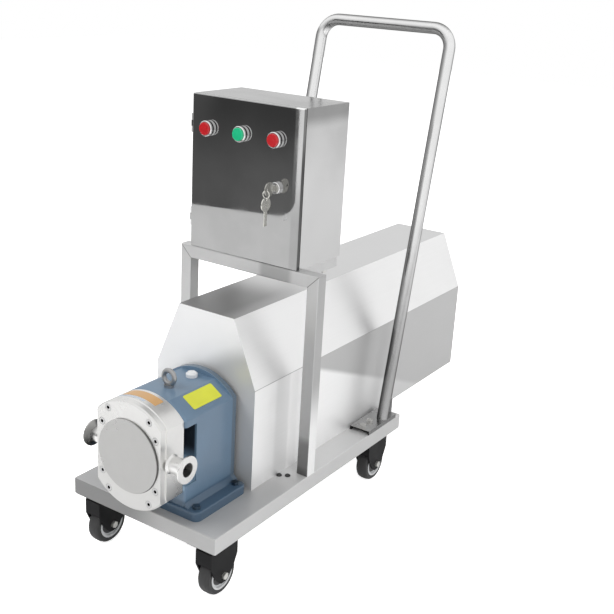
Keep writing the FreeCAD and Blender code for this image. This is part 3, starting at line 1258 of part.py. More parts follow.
def shaft(label, centre_z, tail):
    """Stepped shaft with the nut that holds its rotor; tail is what runs on behind the bearing."""
    nose = "chamber_y - rotor_gap - nose_start"
    seal = "front_bearing_y - nose_start"
    bearing = "plug_y + bearing_width - nose_start"
    profile = [("0", "0"), ("shaft_nose", "0"), ("shaft_nose", nose), ("shaft_seal", nose),
               ("shaft_seal", seal), ("shaft_bearing", seal), ("shaft_bearing", bearing)]
    if tail:
        profile += [("shaft_seal", bearing), ("shaft_seal", tail + " - nose_start"),
                    ("0", tail + " - nose_start")]
    else:
        profile += [("0", bearing)]
    bar = turned(label + "_bar", profile, ("0", "nose_start", centre_z), ALONG_Y)
    hexed = hexagon(label + "_hex", "shaft_nose + nut_rim", "recess_depth - 1",
                    ("0", "nose_start", centre_z), ALONG_Y)
    thread = rod(label + "_thread", "shaft_nose", "recess_depth + 2 * overcut",
                 ("0", "nose_start - overcut", centre_z),
                 ALONG_Y)
    nut = cut(label + "_nut", hexed, [thread])
    return named(label, group(label, [bar, nut]))


def bearings():
    rings = []
    for end, z in (("upper", "upper_z"), ("lower", "lower_z")):
        for place, y in (("front", "front_bearing_y"), ("rear", "plug_y")):
            rings.append(washer(f"{place}_{end}_bearing", "shaft_bearing + spin_gap", "bearing_radius - 0.02",
                                "bearing_width", ("0", y, z), ALONG_Y))
    return named("bearings", group("bearings", rings))


def shaft_seals():
    rings = []
    for end, z in (("upper", "upper_z"), ("lower", "lower_z")):
        profile = [("shaft_seal + spin_gap", "0"), ("seal_radius", "0"), ("seal_radius", "seal_front"),
                   ("seal_radius + seal_lip", "seal_front"), ("seal_radius + seal_lip", "seal_length"),
                   ("shaft_seal + spin_gap", "seal_length")]
        rings.append(turned(f"{end}_seal", profile, ("0", "housing_y - seal_front", z), ALONG_Y))
    return named("shaft_seals", group("shaft_seals", rings))


def gear_housing():
    """Cast housing: faceted body, arched rear flange, two feet, seal window and gear room."""
    outline = [("-housing_half", "-pump_rise"), ("housing_half", "-pump_rise"),
               ("housing_half", "housing_shoulder"), ("housing_flat", "housing_top"),
               ("-housing_flat", "housing_top"), ("-housing_half", "housing_shoulder")]
    plain = padded("housing_plain", outline, "housing_length", ("0", "rear_y", "pump_z"), FRONT_VIEW)
    floor = size("deck")
    back = size("rear_y")
    body = rounded("housing_body", plain, size("housing_soft"),
                   lambda edge: edge.BoundBox.ZMax > floor + 1 and edge.BoundBox.YMin < back - 1)
    arch = rod("flange_disc", "flange_radius", "flange_thick", ("0", "rear_y - flange_thick", "pump_z"),
               ALONG_Y)
    sides = block("flange_sides", ("2 * housing_half", "flange_thick", "pump_rise + flange_radius"),
                  ("-housing_half", "rear_y - flange_thick", "deck"))
    flange = common("housing_flange", arch, sides)
    slab = block("feet_slab", ("2 * foot_reach", "rear_y - foot_y", "foot_height"),
                 ("-foot_reach", "foot_y", "deck"))
    up = Vector(0, 0, 1)
    corners = rounded("feet_corners", slab, size("foot_round"), lambda edge: runs_along(edge, up))
    foot_top = size("deck") + size("foot_height")
    feet = rounded("housing_feet", corners, size("foot_soft"),
                   lambda edge: edge.BoundBox.ZMin > foot_top - 0.1)
    parts = [body, flange, feet]
    for side, sign in (("left", "-"), ("right", "")):
        rib = [("0", "0"), ("foot_rib", "0"), ("0", "foot_rib")]
        turn = FRONT_VIEW if not sign else FRONT_VIEW.multiply(Rotation(Vector(0, 1, 0), 180))
        start = "rear_y" if not sign else "housing_y"
        parts.append(padded("foot_fillet_" + side, rib, "housing_length",
                            (sign + "housing_half", start, "deck + foot_height"), turn))
    window = block("window_cut", ("2 * housing_half + 2", "window_depth + 1", "2 * window_half"),
                   ("-housing_half - 1", "housing_y - 1", "pump_z - window_half"))
    room = obround("room_cut", "room_radius", "housing_length", "room_y")
    clear = rod("casing_clear", "casing_radius + foot_clear", "casing_depth", ("0", "casing_y", "pump_z"),
                ALONG_Y)
    tools = [window, room, clear]
    for end, z in (("upper", "upper_z"), ("lower", "lower_z")):
        tools.append(rod(end + "_bearing_cut", "bearing_radius", "bearing_width + 1",
                         ("0", "front_bearing_y", z), ALONG_Y))
        tools.append(rod(end + "_shaft_cut", "shaft_bearing + 1", "60", ("0", "wall_y - 5", z), ALONG_Y))
    tools += [rod(f"foot_hole_{i}", "foot_hole", "foot_height + 2 * overcut", (x, y, "deck - overcut"))
              for i, (x, y, grip) in enumerate(FOOT_BOLTS)]
    tools.append(rod("filler_hole", "filler_radius - 3", "60", ("0", "housing_y + cap_back", "pump_z + 60")))
    tools.append(rod("eye_hole", "eye_wire + 0.5", "14",
                     ("0", "housing_y + eye_back", "pump_z + housing_top - stem_depth - 1")))
    tools.append(rod("glass_hole", "glass_radius - thread_bore", "60",
                     ("-housing_half - 1", "housing_y + cap_back - fitting_lead",
                                                               "pump_z"), ALONG_X))
    tools.append(rod("drain_hole", "drain_radius - thread_bore", "60",
                     ("-housing_half - 1", "housing_y + cap_back - fitting_lead",
                                                               "lower_z - room_radius + drain_rise"), ALONG_X))
    return named("gear_housing", cut("gear_housing", fuse("housing_solid", parts), tools))


def rear_cover():
    plug = obround("cover_plug", "room_radius - 0.1", "rear_y - plug_y", "plug_y")
    lip = obround("cover_lip_plate", "room_radius + cover_lip", "lip_thick", "rear_y")
    tools = []
    for end, z in (("upper", "upper_z"), ("lower", "lower_z")):
        tools.append(rod(end + "_rear_cut", "bearing_radius", "bearing_width + 2", ("0", "plug_y - 1", z),
                         ALONG_Y))
    tools.append(rod("cover_shaft_cut", "shaft_seal + spin_gap", "80", ("0", "plug_y", "upper_z"), ALONG_Y))
    return named("rear_cover", cut("rear_cover", fuse("rear_cover_solid", [plug, lip]), tools))


def housing_fittings():
    top = "pump_z + housing_top"
    cap_y = "housing_y + cap_back"
    stem = rod("filler_stem", "filler_radius - 3 - stem_slack", "stem_depth",
               ("0", cap_y, top + " - stem_depth"))
    dome = turned("filler_dome", [("0", "0"), ("filler_radius", "0"),
                                  ("filler_radius", "filler_height - filler_slope"),
                                  ("filler_radius - filler_slope", "filler_height"), ("0", "filler_height")],
                  ("0", cap_y, top))
    filler = fuse("oil_filler", [stem, dome])
    eye_y = "housing_y + eye_back"
    collar = rod("eye_collar", "2 * eye_wire", "collar_height", ("0", eye_y, top))
    thread = rod("eye_thread", "eye_wire", "stem_depth + collar_height", ("0", eye_y, top + " - stem_depth"))
    loop = ring("eye_loop", "eye_radius", "eye_wire",
                ("0", eye_y, top + " + 4 + eye_radius + eye_wire * 0.6"),
                ALONG_Y)
    named("lifting_eye", fuse("lifting_eye", [collar, thread, loop]))
    side_y = "housing_y + cap_back - fitting_lead"
    outward = Rotation(Vector(0, 1, 0), -90)
    glass = turned("sight_glass", [("0", "0"), ("glass_radius - thread_bore - stem_slack", "0"),
                                   ("glass_radius - thread_bore - stem_slack", "8"),
                                   ("glass_radius", "8"), ("glass_radius", "12"), ("glass_radius - 3", "12"),
                                   ("glass_radius - 3", "11"), ("0", "11")],
                   ("8 - housing_half", side_y, "pump_z"), outward)
    named("sight_glass", glass)
    low = "lower_z - room_radius + drain_rise"
    plug = rod("drain_stem", "drain_radius - thread_bore - stem_slack", "10",
               ("10 - housing_half", side_y, low), outward)
    head = hexagon("drain_head", "drain_radius", "drain_head", ("-housing_half", side_y, low), outward)
    named("oil_plugs", group("oil_plugs", [filler, fuse("drain_plug", [plug, head])]))


def wedge(inner, outer, half_angle):
    """A four-cornered slice of a ring, about local X."""
    return [(f"{radius} * cos({half_angle})", f"{sign}{radius} * sin({half_angle})")
            for radius, sign in ((inner, "-"), (outer, "-"), (outer, ""), (inner, ""))]


def coupling():
    """Two jaw hubs with a spider between their teeth."""
    hubs = []
    for end, y, jaw_y, turn in (("pump", "coupling_y", "spider_y", 0),
                                ("motor", "motor_half_y", "spider_y", 60)):
        hub = washer(end + "_hub", "shaft_seal + 0.02", "hub_radius", "hub_length", ("0", y, "upper_z"),
                     ALONG_Y)
        pieces = [hub]
        for i in range(3):
            angle = Rotation(Vector(0, 0, 1), turn + 120 * i)
            outline = wedge("hub_radius * 0.45", "hub_radius * 0.95", 20)
            pieces.append(padded(f"{end}_jaw_{i}", outline, "jaw_length", ("0", jaw_y, "upper_z"),
                                 ALONG_Y.multiply(angle)))
        hubs.append(fuse(end + "_coupling_half", pieces))
    named("coupling_halves", group("coupling_halves", hubs))
    arms = []
    for i in range(6):
        angle = Rotation(Vector(0, 0, 1), 30 + 60 * i)
        outline = wedge("hub_radius * 0.3", "hub_radius * 0.9", 9.3)
        arms.append(padded(f"spider_arm_{i}", outline, "jaw_length - 1", ("0", "spider_y + 0.5", "upper_z"),
                           ALONG_Y.multiply(angle)))
    core = washer("spider_core", "hub_radius * 0.15", "hub_radius * 0.38", "jaw_length - 1",
                  ("0", "spider_y + 0.5", "upper_z"), ALONG_Y)
    named("coupling_spider", fuse("coupling_spider", [core] + arms))


def drive_bed():
    """Upturned channel that carries the reducer and the motor, with turned-out flanges."""
    outside = block("bed_out", ("2 * bed_half", "bed_length", "bed_height"), ("-bed_half", "bed_y", "deck"))
    inside = block("bed_in", ("2 * (bed_half - bed_wall)", "bed_length", "bed_height - bed_wall"),
                   ("bed_wall - bed_half", "bed_y", "deck"))
    flanges = block("bed_flange", ("2 * (bed_half + bed_flange)", "bed_length", "bed_wall"),
                    ("-bed_half - bed_flange", "bed_y", "deck"))
    gap = block("bed_gap", ("2 * (bed_half - bed_wall)", "bed_length + 2", "bed_height - bed_wall"),
                ("bed_wall - bed_half", "bed_y - 1", "deck"))
    holes = [rod(f"bed_hole_{i}", "bolt_radius + bolt_play", "bed_wall + 2 * overcut",
                 (x, y, "deck - overcut"))
             for i, (x, y, grip) in enumerate(BED_BOLTS)]
    shell = cut("bed_shell", outside, [inside])
    return named("drive_bed", cut("drive_bed", fuse("bed_solid", [shell, flanges]), [gap] + holes))


def gear_reducer():
    """Inline reducer: waisted round casing on a foot."""
    last = "reducer_length"
    profile = [("output_radius + spin_gap", "0"), ("reducer_radius * 0.55", "0"),
               ("reducer_radius * 0.6", "14"),
               ("reducer_radius", "26"), ("reducer_radius", last + " - 40"), ("reducer_radius * 0.8",
                                                                              last + " - 22"),
               ("motor_radius", last + " - 12"), ("motor_radius", last), ("output_radius + spin_gap", last)]
    casing = turned("reducer_casing", profile, ("0", "reducer_y", "upper_z"), ALONG_Y)
    foot = block("reducer_foot", ("2 * bed_half", "reducer_length - 60", "reducer_foot"),
                 ("-bed_half", "reducer_y + reducer_inset", "bed_top"))
    web = block("reducer_web", ("reducer_web", "reducer_length - 74", "upper_z - bed_top"),
                ("-reducer_web / 2", "reducer_y + reducer_inset + 6", "bed_top"))
    bore = rod("reducer_bore", "output_radius + spin_gap", "reducer_length + 2",
               ("0", "reducer_y - 1", "upper_z"),
               ALONG_Y)
    named("gear_reducer", cut("gear_reducer", fuse("reducer_solid", [casing, foot, web]), [bore]))
    named("output_shaft", rod("output_shaft", "output_radius",
                              "reducer_length * 0.5 + reducer_gap + hub_length",
                              ("0", "motor_half_y", "upper_z"), ALONG_Y))


def motor():
    """Finned motor barrel with terminal box and fan cowl, and the rotor that turns in it."""
    barrel = rod("motor_barrel", "motor_radius", "motor_length", ("0", "motor_y", "upper_z"), ALONG_Y)
    pieces = [barrel]
    count = int(size("motor_fins"))
    for i in range(count):
        angle = Rotation(Vector(0, 0, 1), 360 * i / count)
        outline = [("motor_radius - 2", "-fin_thick / 2"), ("motor_radius + motor_fin", "-fin_thick / 2.5"),
                   ("motor_radius + motor_fin", "fin_thick / 2.5"), ("motor_radius - 2", "fin_thick / 2")]
        pieces.append(padded(f"motor_fin_{i}", outline, "motor_length - fin_short",
                             ("0", "motor_y + fin_inset", "upper_z"),
                             ALONG_Y.multiply(angle)))
    lid = block("terminal_box", ("terminal_box", "terminal_long", "motor_radius + motor_fin + terminal_rise"),
                ("-terminal_box / 2", "motor_y + terminal_start", "upper_z"))
    cowl_radius = "motor_radius + motor_fin * 0.8"
    cowl = turned("fan_cowl", [(cowl_radius + " - cowl_wall", "-cowl_lap"), (cowl_radius, "-cowl_lap"),
                               (cowl_radius, "cowl_length"),
                               ("cowl_eye", "cowl_length"), ("cowl_eye", "cowl_length - cowl_wall"),
                               (cowl_radius + " - cowl_wall", "cowl_length - cowl_wall")],
                  ("0", "cowl_y", "upper_z"), ALONG_Y)
    hollow = rod("motor_hollow", "output_radius + spin_gap", "motor_length + 2",
                 ("0", "motor_y - 1", "upper_z"),
                 ALONG_Y)
    body = fuse("motor_solid", pieces + [lid, cowl])
    named("motor_body", cut("motor_body", body, [hollow]))
    spindle = rod("motor_spindle", "output_radius", "motor_length + spindle_tail",
                  ("0", "motor_y", "upper_z"), ALONG_Y)
    blades = [spindle]
    for i in range(6):
        angle = Rotation(Vector(0, 0, 1), 60 * i)
        outline = [("output_radius - 2", "-fan_thick / 2"), ("motor_radius - fan_gap", "-fan_thick / 2"),
                   ("motor_radius - fan_gap", "fan_thick / 2"), ("output_radius - 2", "fan_thick / 2")]
        blades.append(padded(f"fan_blade_{i}", outline, "fan_length", ("0", "cowl_y + fan_start", "upper_z"),
                             ALONG_Y.multiply(angle)))
    named("motor_rotor", fuse("motor_rotor", blades))


base_tray()
frame_bolts()
casters()
handle_tube()
handle_brackets()
stand_frame()
motor_hood()
enclosure_body()
door_hinges()
enclosure_door()
door_gasket()
mounting_plate()
switchgear()
box_gland()
button_bezels()
button_caps()
button_contacts()
lock()
spare_key()
front_cover()
cover_screws()
cover_seal()
rotor_casing()
rotor("drive_rotor", "upper_z", math.pi / 2)
rotor("driven_rotor", "lower_z", math.pi / 2)
timing_gear("drive_gear", "upper_z", math.pi / 2)
timing_gear("driven_gear", "lower_z", math.pi / 2)
shaft("drive_shaft", "upper_z", "spider_y - 2")
shaft("driven_shaft", "lower_z", None)
bearings()
shaft_seals()
gear_housing()
rear_cover()
housing_fittings()
coupling()
drive_bed()
gear_reducer()
motor()

doc.recompute()

# Nothing is written unless every object is sound
faults = [item.Name for item in doc.Objects if "Invalid" in item.State or "Error" in item.State]
for thing in sub_parts:
    if thing.Shape.isNull() or not thing.Shape.isValid():
        faults.append(thing.Label)
if faults:
    raise RuntimeError("these objects failed: " + ", ".join(faults))

os.makedirs("parts", exist_ok=True)
for thing in sub_parts:
    thing.Shape.exportStep(f"parts/{thing.Label}.step")
print(len(sub_parts), "sub-parts written")
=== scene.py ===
# %% [markdown]
# # A rotor pump on a stainless trolley
# The construction is already there: sixty machined, folded and moulded pieces at their real size.
# This file dresses them. It sets the camera and the studio, mixes a finish for each kind of
# surface, and models what a workshop adds last: three bare plates and two screws on the deck.
# The pieces arrive in metres, with +Z up and the pump looking towards -Y.

# %% Load the construction
import math
import bmesh
import bpy
from mathutils import Matrix, Vector


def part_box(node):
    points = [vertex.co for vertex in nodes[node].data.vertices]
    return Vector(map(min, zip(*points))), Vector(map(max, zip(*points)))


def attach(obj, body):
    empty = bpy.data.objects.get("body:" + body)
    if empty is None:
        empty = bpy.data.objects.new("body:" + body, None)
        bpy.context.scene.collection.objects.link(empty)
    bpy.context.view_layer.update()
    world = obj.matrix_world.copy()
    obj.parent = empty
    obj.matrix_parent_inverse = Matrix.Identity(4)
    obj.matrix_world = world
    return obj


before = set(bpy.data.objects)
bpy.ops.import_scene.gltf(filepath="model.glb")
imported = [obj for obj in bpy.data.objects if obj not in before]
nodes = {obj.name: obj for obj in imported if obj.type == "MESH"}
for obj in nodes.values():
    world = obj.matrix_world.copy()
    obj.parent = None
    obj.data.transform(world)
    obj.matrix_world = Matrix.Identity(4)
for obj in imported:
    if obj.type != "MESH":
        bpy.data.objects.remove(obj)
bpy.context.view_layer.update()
MM = 0.001
bpy.ops.object.select_all(action="DESELECT")
print("pieces of the construction:", len(nodes))

# %% [markdown]
# The camera stands to the right of the pump and looks down on it. Its place was worked out from
# the edges of the tray, the box and the hood, which run along three known directions. The picture
# leans a little, so the camera is rolled by a few degrees after it has been aimed. The small shifts
# slide the picture inside its frame without a change of perspective.

# %% Aim the camera
EYE = Vector((1.0976, -1.67015, 1.0973))
TARGET = Vector((0.015, 0.00325, 0.442))
ROLL = math.radians(3.29)
LENS = 58.16
SENSOR = 36
SHIFT_X, SHIFT_Y = -0.004, -0.0265

camera_data = bpy.data.cameras.new("camera")
camera = bpy.data.objects.new("camera", camera_data)
bpy.context.scene.collection.objects.link(camera)
forward = (TARGET - EYE).normalized()
sideways = forward.cross(Vector((0, 0, 1))).normalized()
upwards = sideways.cross(forward)
right = sideways * math.cos(ROLL) + upwards * math.sin(ROLL)
up = upwards * math.cos(ROLL) - sideways * math.sin(ROLL)
turned = Matrix((right, up, -forward)).transposed().to_4x4()
camera.matrix_world = Matrix.Translation(EYE) @ turned
camera_data.lens = LENS
camera_data.sensor_width = SENSOR
camera_data.shift_x = SHIFT_X
camera_data.shift_y = SHIFT_Y
bpy.context.scene.camera = camera
print("camera to target:", round((TARGET - EYE).length, 3), "m")

# %% [markdown]
# A material is a small graph of nodes. It could be wired by hand in the shader editor, but the
# same few moves come back in every graph: add a node and fill its sockets, do a sum, step softly
# from one value to another, mix two shaders. So each move is a helper, and the graphs stay short.

# %% Helpers for node graphs
def fill(tree, socket, value):
    """Give a socket its value: a link where the value is a socket too, or else a number."""
    if isinstance(value, bpy.types.NodeSocket):
        tree.links.new(value, socket)
    else:
        socket.default_value = value


def add(tree, kind, settings=(), **sockets):
    """Add a node, set its properties, then fill its sockets by name."""
    node = tree.nodes.new(kind)
    for key, value in dict(settings).items():
        setattr(node, key, value)
    for key, value in sockets.items():
        socket = next(s for s in node.inputs if s.name.replace(" ", "_") == key and s.enabled)
        fill(tree, socket, value)
    return node


def calc(tree, operation, first, second=0.0, third=0.0):
    """One sum on numbers or sockets."""
    node = add(tree, "ShaderNodeMath", {"operation": operation})
    for socket, value in zip(node.inputs, (first, second, third)):
        fill(tree, socket, value)
    return node.outputs[0]


def ramp(tree, value, start, end, low=0.0, high=1.0):
    """A soft step from low to high as the value goes from start to end."""
    node = add(tree, "ShaderNodeMapRange", {"interpolation_type": "SMOOTHSTEP"}, Value=value,
               From_Min=start, From_Max=end, To_Min=low, To_Max=high)
    return node.outputs["Result"]


def parts(tree, vector):
    """The X, Y and Z of a vector."""
    return add(tree, "ShaderNodeSeparateXYZ", Vector=vector).outputs


def mix_shaders(tree, factor, first, second):
    """The first shader where the factor is 0, and the second where it is 1."""
    node = add(tree, "ShaderNodeMixShader")
    for socket, value in zip(node.inputs, (factor, first, second)):
        tree.links.new(value, socket)
    return node.outputs[0]


def empty_material(name):
    """A material without nodes, and its tree."""
    material = bpy.data.materials.new(name)
    material.use_nodes = True
    material.node_tree.nodes.clear()
    return material, material.node_tree


def put_out(tree, shader, kind="ShaderNodeOutputMaterial"):
    """Make a shader what the tree puts out."""
    tree.links.new(shader, add(tree, kind).inputs["Surface"])


print("helpers for node graphs are ready")

# %% [markdown]
# The studio is plain: a white surround, a white floor and three large soft lamps. The surround is
# split by the kind of ray. What the camera sees of it is white. What polished steel sees is a
# little darker towards the horizon, and that is what gives folded sheet its greys. One white world
# for all rays would be simpler, but then the steel would melt into the background.

# %% Surround
AMBIENT = 0.50
HORIZON = 0.90
ZENITH = 1.0
ZENITH_FROM = 0.8
WHITE = (1, 1, 1, 1)

world = bpy.data.worlds.new("surround")
bpy.context.scene.world = world
world.use_nodes = True
tree = world.node_tree
tree.nodes.clear()
rays = add(tree, "ShaderNodeLightPath").outputs
seen = calc(tree, "MAXIMUM", rays["Is Camera Ray"], rays["Is Transmission Ray"])
height = parts(tree, add(tree, "ShaderNodeTexCoord").outputs["Generated"])["Z"]
sky = add(tree, "ShaderNodeMapRange", Value=height, From_Min=0.0, From_Max=ZENITH_FROM,
          To_Min=HORIZON, To_Max=ZENITH)
glossy = add(tree, "ShaderNodeBackground", Color=sky.outputs["Result"])
diffuse = add(tree, "ShaderNodeBackground", Color=WHITE, Strength=AMBIENT)
white = add(tree, "ShaderNodeBackground", Color=WHITE, Strength=1.0)
lit = mix_shaders(tree, rays["Is Glossy Ray"], diffuse.outputs[0], glossy.outputs[0])
put_out(tree, mix_shaders(tree, seen, lit, white.outputs[0]), "ShaderNodeOutputWorld")
bpy.context.scene.view_settings.view_transform = "Standard"
print("surround:", AMBIENT, "for diffuse rays,", HORIZON, "to", ZENITH, "in reflections")

# %% [markdown]
# The floor has to end in white too, and still take the soft shadow of the casters. A diffuse white
# plane alone would come out grey, so it also glows a little: more for the camera than for steel.

# %% Floor
FLOOR_HALF = 9.0
FLOOR_WHITE = 0.93
GLOW_TO_CAMERA = 0.80
GLOW_TO_STEEL = 0.12

bpy.ops.mesh.primitive_plane_add(size=2 * FLOOR_HALF, location=(0, 0, 0))
floor = bpy.context.object
floor.name = "floor"
material, tree = empty_material("white floor")
rays = add(tree, "ShaderNodeLightPath").outputs
to_camera = calc(tree, "MULTIPLY", rays["Is Camera Ray"], GLOW_TO_CAMERA)
strength = calc(tree, "MULTIPLY_ADD", rays["Is Glossy Ray"], GLOW_TO_STEEL, to_camera)
shaded = add(tree, "ShaderNodeBsdfDiffuse", Color=(FLOOR_WHITE, FLOOR_WHITE, FLOOR_WHITE, 1))
glow = add(tree, "ShaderNodeEmission", Color=WHITE, Strength=strength)
total = add(tree, "ShaderNodeAddShader")
tree.links.new(shaded.outputs[0], total.inputs[0])
tree.links.new(glow.outputs[0], total.inputs[1])
put_out(tree, total.outputs[0])
floor.data.materials.append(material)
print("floor:", 2 * FLOOR_HALF, "m wide")

# %% [markdown]
# Three large soft lamps give the shadows that hardly show in the picture. They stay out of the
# reflections, because a bright patch of lamp would burn out on every polished edge.

# %% Lamps
def softbox(name, place, aim, width, height, power):
    """A rectangular lamp that looks at a point and doesn't show in reflections."""
    data = bpy.data.lights.new(name, "AREA")
    data.shape = "RECTANGLE"
    data.size = width
    data.size_y = height
    data.energy = power
    lamp = bpy.data.objects.new(name, data)
    bpy.context.scene.collection.objects.link(lamp)
    lamp.location = place
    lamp.rotation_euler = (Vector(aim) - Vector(place)).to_track_quat("-Z", "Y").to_euler()
    lamp.visible_glossy = False
    return lamp


MIDDLE = (0, 0, 0.45)
lamps = [softbox("key lamp", (-1.9, -2.2, 2.9), MIDDLE, 1.6, 1.6, 62),
         softbox("fill lamp", (2.6, -1.2, 1.8), MIDDLE, 1.8, 1.8, 30),
         softbox("back lamp", (0.6, 2.8, 2.4), MIDDLE, 2.0, 1.2, 30)]
print("lamps in watts:", {lamp.name: lamp.data.energy for lamp in lamps})

# %% [markdown]
# New things are modelled as by hand: something simple is added in its place, corners or faces are
# picked, and a tool works on what is picked. A script can't click on a corner, so it picks by a
# test, on the place of a corner or on the direction that a face looks.

# %% Picking
def pick(piece, kind, test):
    """In edit mode, pick just the vertices or faces of a piece that pass a test."""
    bpy.ops.mesh.select_mode(type=kind)
    bpy.ops.mesh.select_all(action="DESELECT")
    shape = bmesh.from_edit_mesh(piece.data)
    for part in (shape.verts if kind == "VERT" else shape.faces):
        part.select = test(part)
    shape.select_flush_mode()
    bmesh.update_edit_mesh(piece.data)


print("vertices and faces can be picked by a test")

# %% [markdown]
# The mirror door of the control box shows what stands in front of it: something dark, over a bright
# floor. Painting that on the door would look wrong from any other side, so a dark card stands on
# the floor, out of view, where the door reflects it. It is an upright plane with one corner rounded
# by a bevel. Its foot and that corner make the lower edge of the reflection, and it is faintly
# clouded and lighter near the floor. Only reflections see the card.

# %% Dark card
CARD_FOOT = Vector((-1.355, -2.378, 0.0))
CARD_RUN = Vector((-1.0, 0.262, 0.0)).normalized()
CARD_LENGTH = 1.7
CARD_HEIGHT = 1.1
CARD_CORNER = 0.085
CARD_STEPS = 8
CARD_DARK = 0.085
CARD_LIGHT = 0.135
CARD_FOOT_LIGHT = 0.10
FOOT_LIGHT_FROM, FOOT_LIGHT_TO = 0.1, 0.5
SPOTS = 2.4

card_middle = CARD_FOOT + CARD_RUN * CARD_LENGTH / 2 + Vector((0, 0, CARD_HEIGHT / 2))
upright = (math.radians(90), 0, math.atan2(CARD_RUN.y, CARD_RUN.x))
bpy.ops.object.select_all(action="DESELECT")
bpy.ops.mesh.primitive_plane_add(size=1, location=card_middle, rotation=upright)
card = bpy.context.object
card.name = "dark_card"
card.scale = (CARD_LENGTH, CARD_HEIGHT, 1)
bpy.ops.object.transform_apply(location=True, rotation=True, scale=True)
bpy.ops.object.mode_set(mode="EDIT")
pick(card, "VERT", lambda vertex: (vertex.co - CARD_FOOT).length < MM)
bpy.ops.mesh.bevel(offset=CARD_CORNER, segments=CARD_STEPS, affect="VERTICES")
bpy.ops.object.mode_set(mode="OBJECT")

material, tree = empty_material("dark card")
where = add(tree, "ShaderNodeTexCoord").outputs["Object"]
spots = add(tree, "ShaderNodeTexNoise", Vector=where, Scale=SPOTS, Detail=1.0).outputs["Fac"]
shade = ramp(tree, spots, 0.4, 0.65, CARD_DARK, CARD_LIGHT)
near_foot = ramp(tree, parts(tree, where)["Z"], FOOT_LIGHT_FROM, FOOT_LIGHT_TO,
                 CARD_FOOT_LIGHT, 0.0)
glow = add(tree, "ShaderNodeEmission", Color=WHITE, Strength=calc(tree, "ADD", shade, near_foot))
put_out(tree, glow.outputs[0])
card.data.materials.append(material)
card.visible_camera = card.visible_diffuse = False
card.visible_shadow = card.visible_transmission = False
print("card:", CARD_LENGTH, "by", CARD_HEIGHT, "m")

# %% [markdown]
# Several finishes share an effect. Brushed sheet has long fine scratches, castings and mouldings
# have a fine skin, and every handled surface has faint cloudy differences. Each effect is a node
# group that puts out a value between 0 and 1, and a material decides what to do with it. A group is
# built once and placed often, so a change to the scratches shows on every sheet.

# %% Shared effects
def effect_group(name, inputs, output="Value"):
    """An empty node group with a Vector input, number inputs and one number output."""
    group = bpy.data.node_groups.new(name, "ShaderNodeTree")
    group.interface.new_socket("Vector", in_out="INPUT", socket_type="NodeSocketVector")
    for label, value in inputs.items():
        socket = group.interface.new_socket(label, in_out="INPUT", socket_type="NodeSocketFloat")
        socket.default_value = value
    group.interface.new_socket(output, in_out="OUTPUT", socket_type="NodeSocketFloat")
    ends = group.nodes.new("NodeGroupInput"), group.nodes.new("NodeGroupOutput")
    return group, ends[0].outputs, ends[1].inputs[output]


# Long fine scratches: noise squeezed along two axes and stretched along the third
scratches, given, result = effect_group("scratches",
                                        {"Along X": 400, "Along Y": 400, "Along Z": 400})
spread = add(scratches, "ShaderNodeCombineXYZ", X=given["Along X"], Y=given["Along Y"],
             Z=given["Along Z"])
squeezed = add(scratches, "ShaderNodeVectorMath", {"operation": "MULTIPLY"})
scratches.links.new(given["Vector"], squeezed.inputs[0])
scratches.links.new(spread.outputs[0], squeezed.inputs[1])
lines = add(scratches, "ShaderNodeTexNoise", Vector=squeezed.outputs[0], Scale=1.0, Detail=4.0,
            Roughness=0.65)
scratches.links.new(lines.outputs["Fac"], result)

# Cloudy differences some centimetres across
clouds, given, result = effect_group("clouds", {"Scale": 9.0})
patch = add(clouds, "ShaderNodeTexNoise", Vector=given["Vector"], Scale=given["Scale"],
            Detail=3.0, Roughness=0.55)
clouds.links.new(ramp(clouds, patch.outputs["Fac"], 0.3, 0.7), result)

# A skin of fine grains, as on castings and mouldings
skin, given, result = effect_group("skin", {"Scale": 1400.0})
grains = add(skin, "ShaderNodeTexNoise", Vector=given["Vector"], Scale=given["Scale"],
             Detail=2.0, Roughness=0.6)
skin.links.new(grains.outputs["Fac"], result)
print("effects:", [group.name for group in (scratches, clouds, skin)])

# %% [markdown]
# Polished sheet has no colour of its own: it shows a blurred picture of the room. The room of the
# photograph isn't here, so its greys are written down as tones, from 0 for black to 255 for white.
# A tone has to come out of the render as it was written, so it is turned into a reflectance first.

# %% Tones
def level(tone):
    """The reflectance that comes out at a tone, in a surround that is almost white."""
    return ((tone / 255 + 0.055) / 1.055) ** 2.4 / 0.95


print("tone 128 reflects", round(level(128), 3))

# %% [markdown]
# A mask is a number between 0 and 1 that says where a tone belongs: on which face, and how far
# along. It could be painted by hand on an unwrapped mesh, but then it would have to be painted
# again whenever a piece changes. Here it is a sum on the place of a point, so it follows the piece.
# All lengths in these sums are in mm.

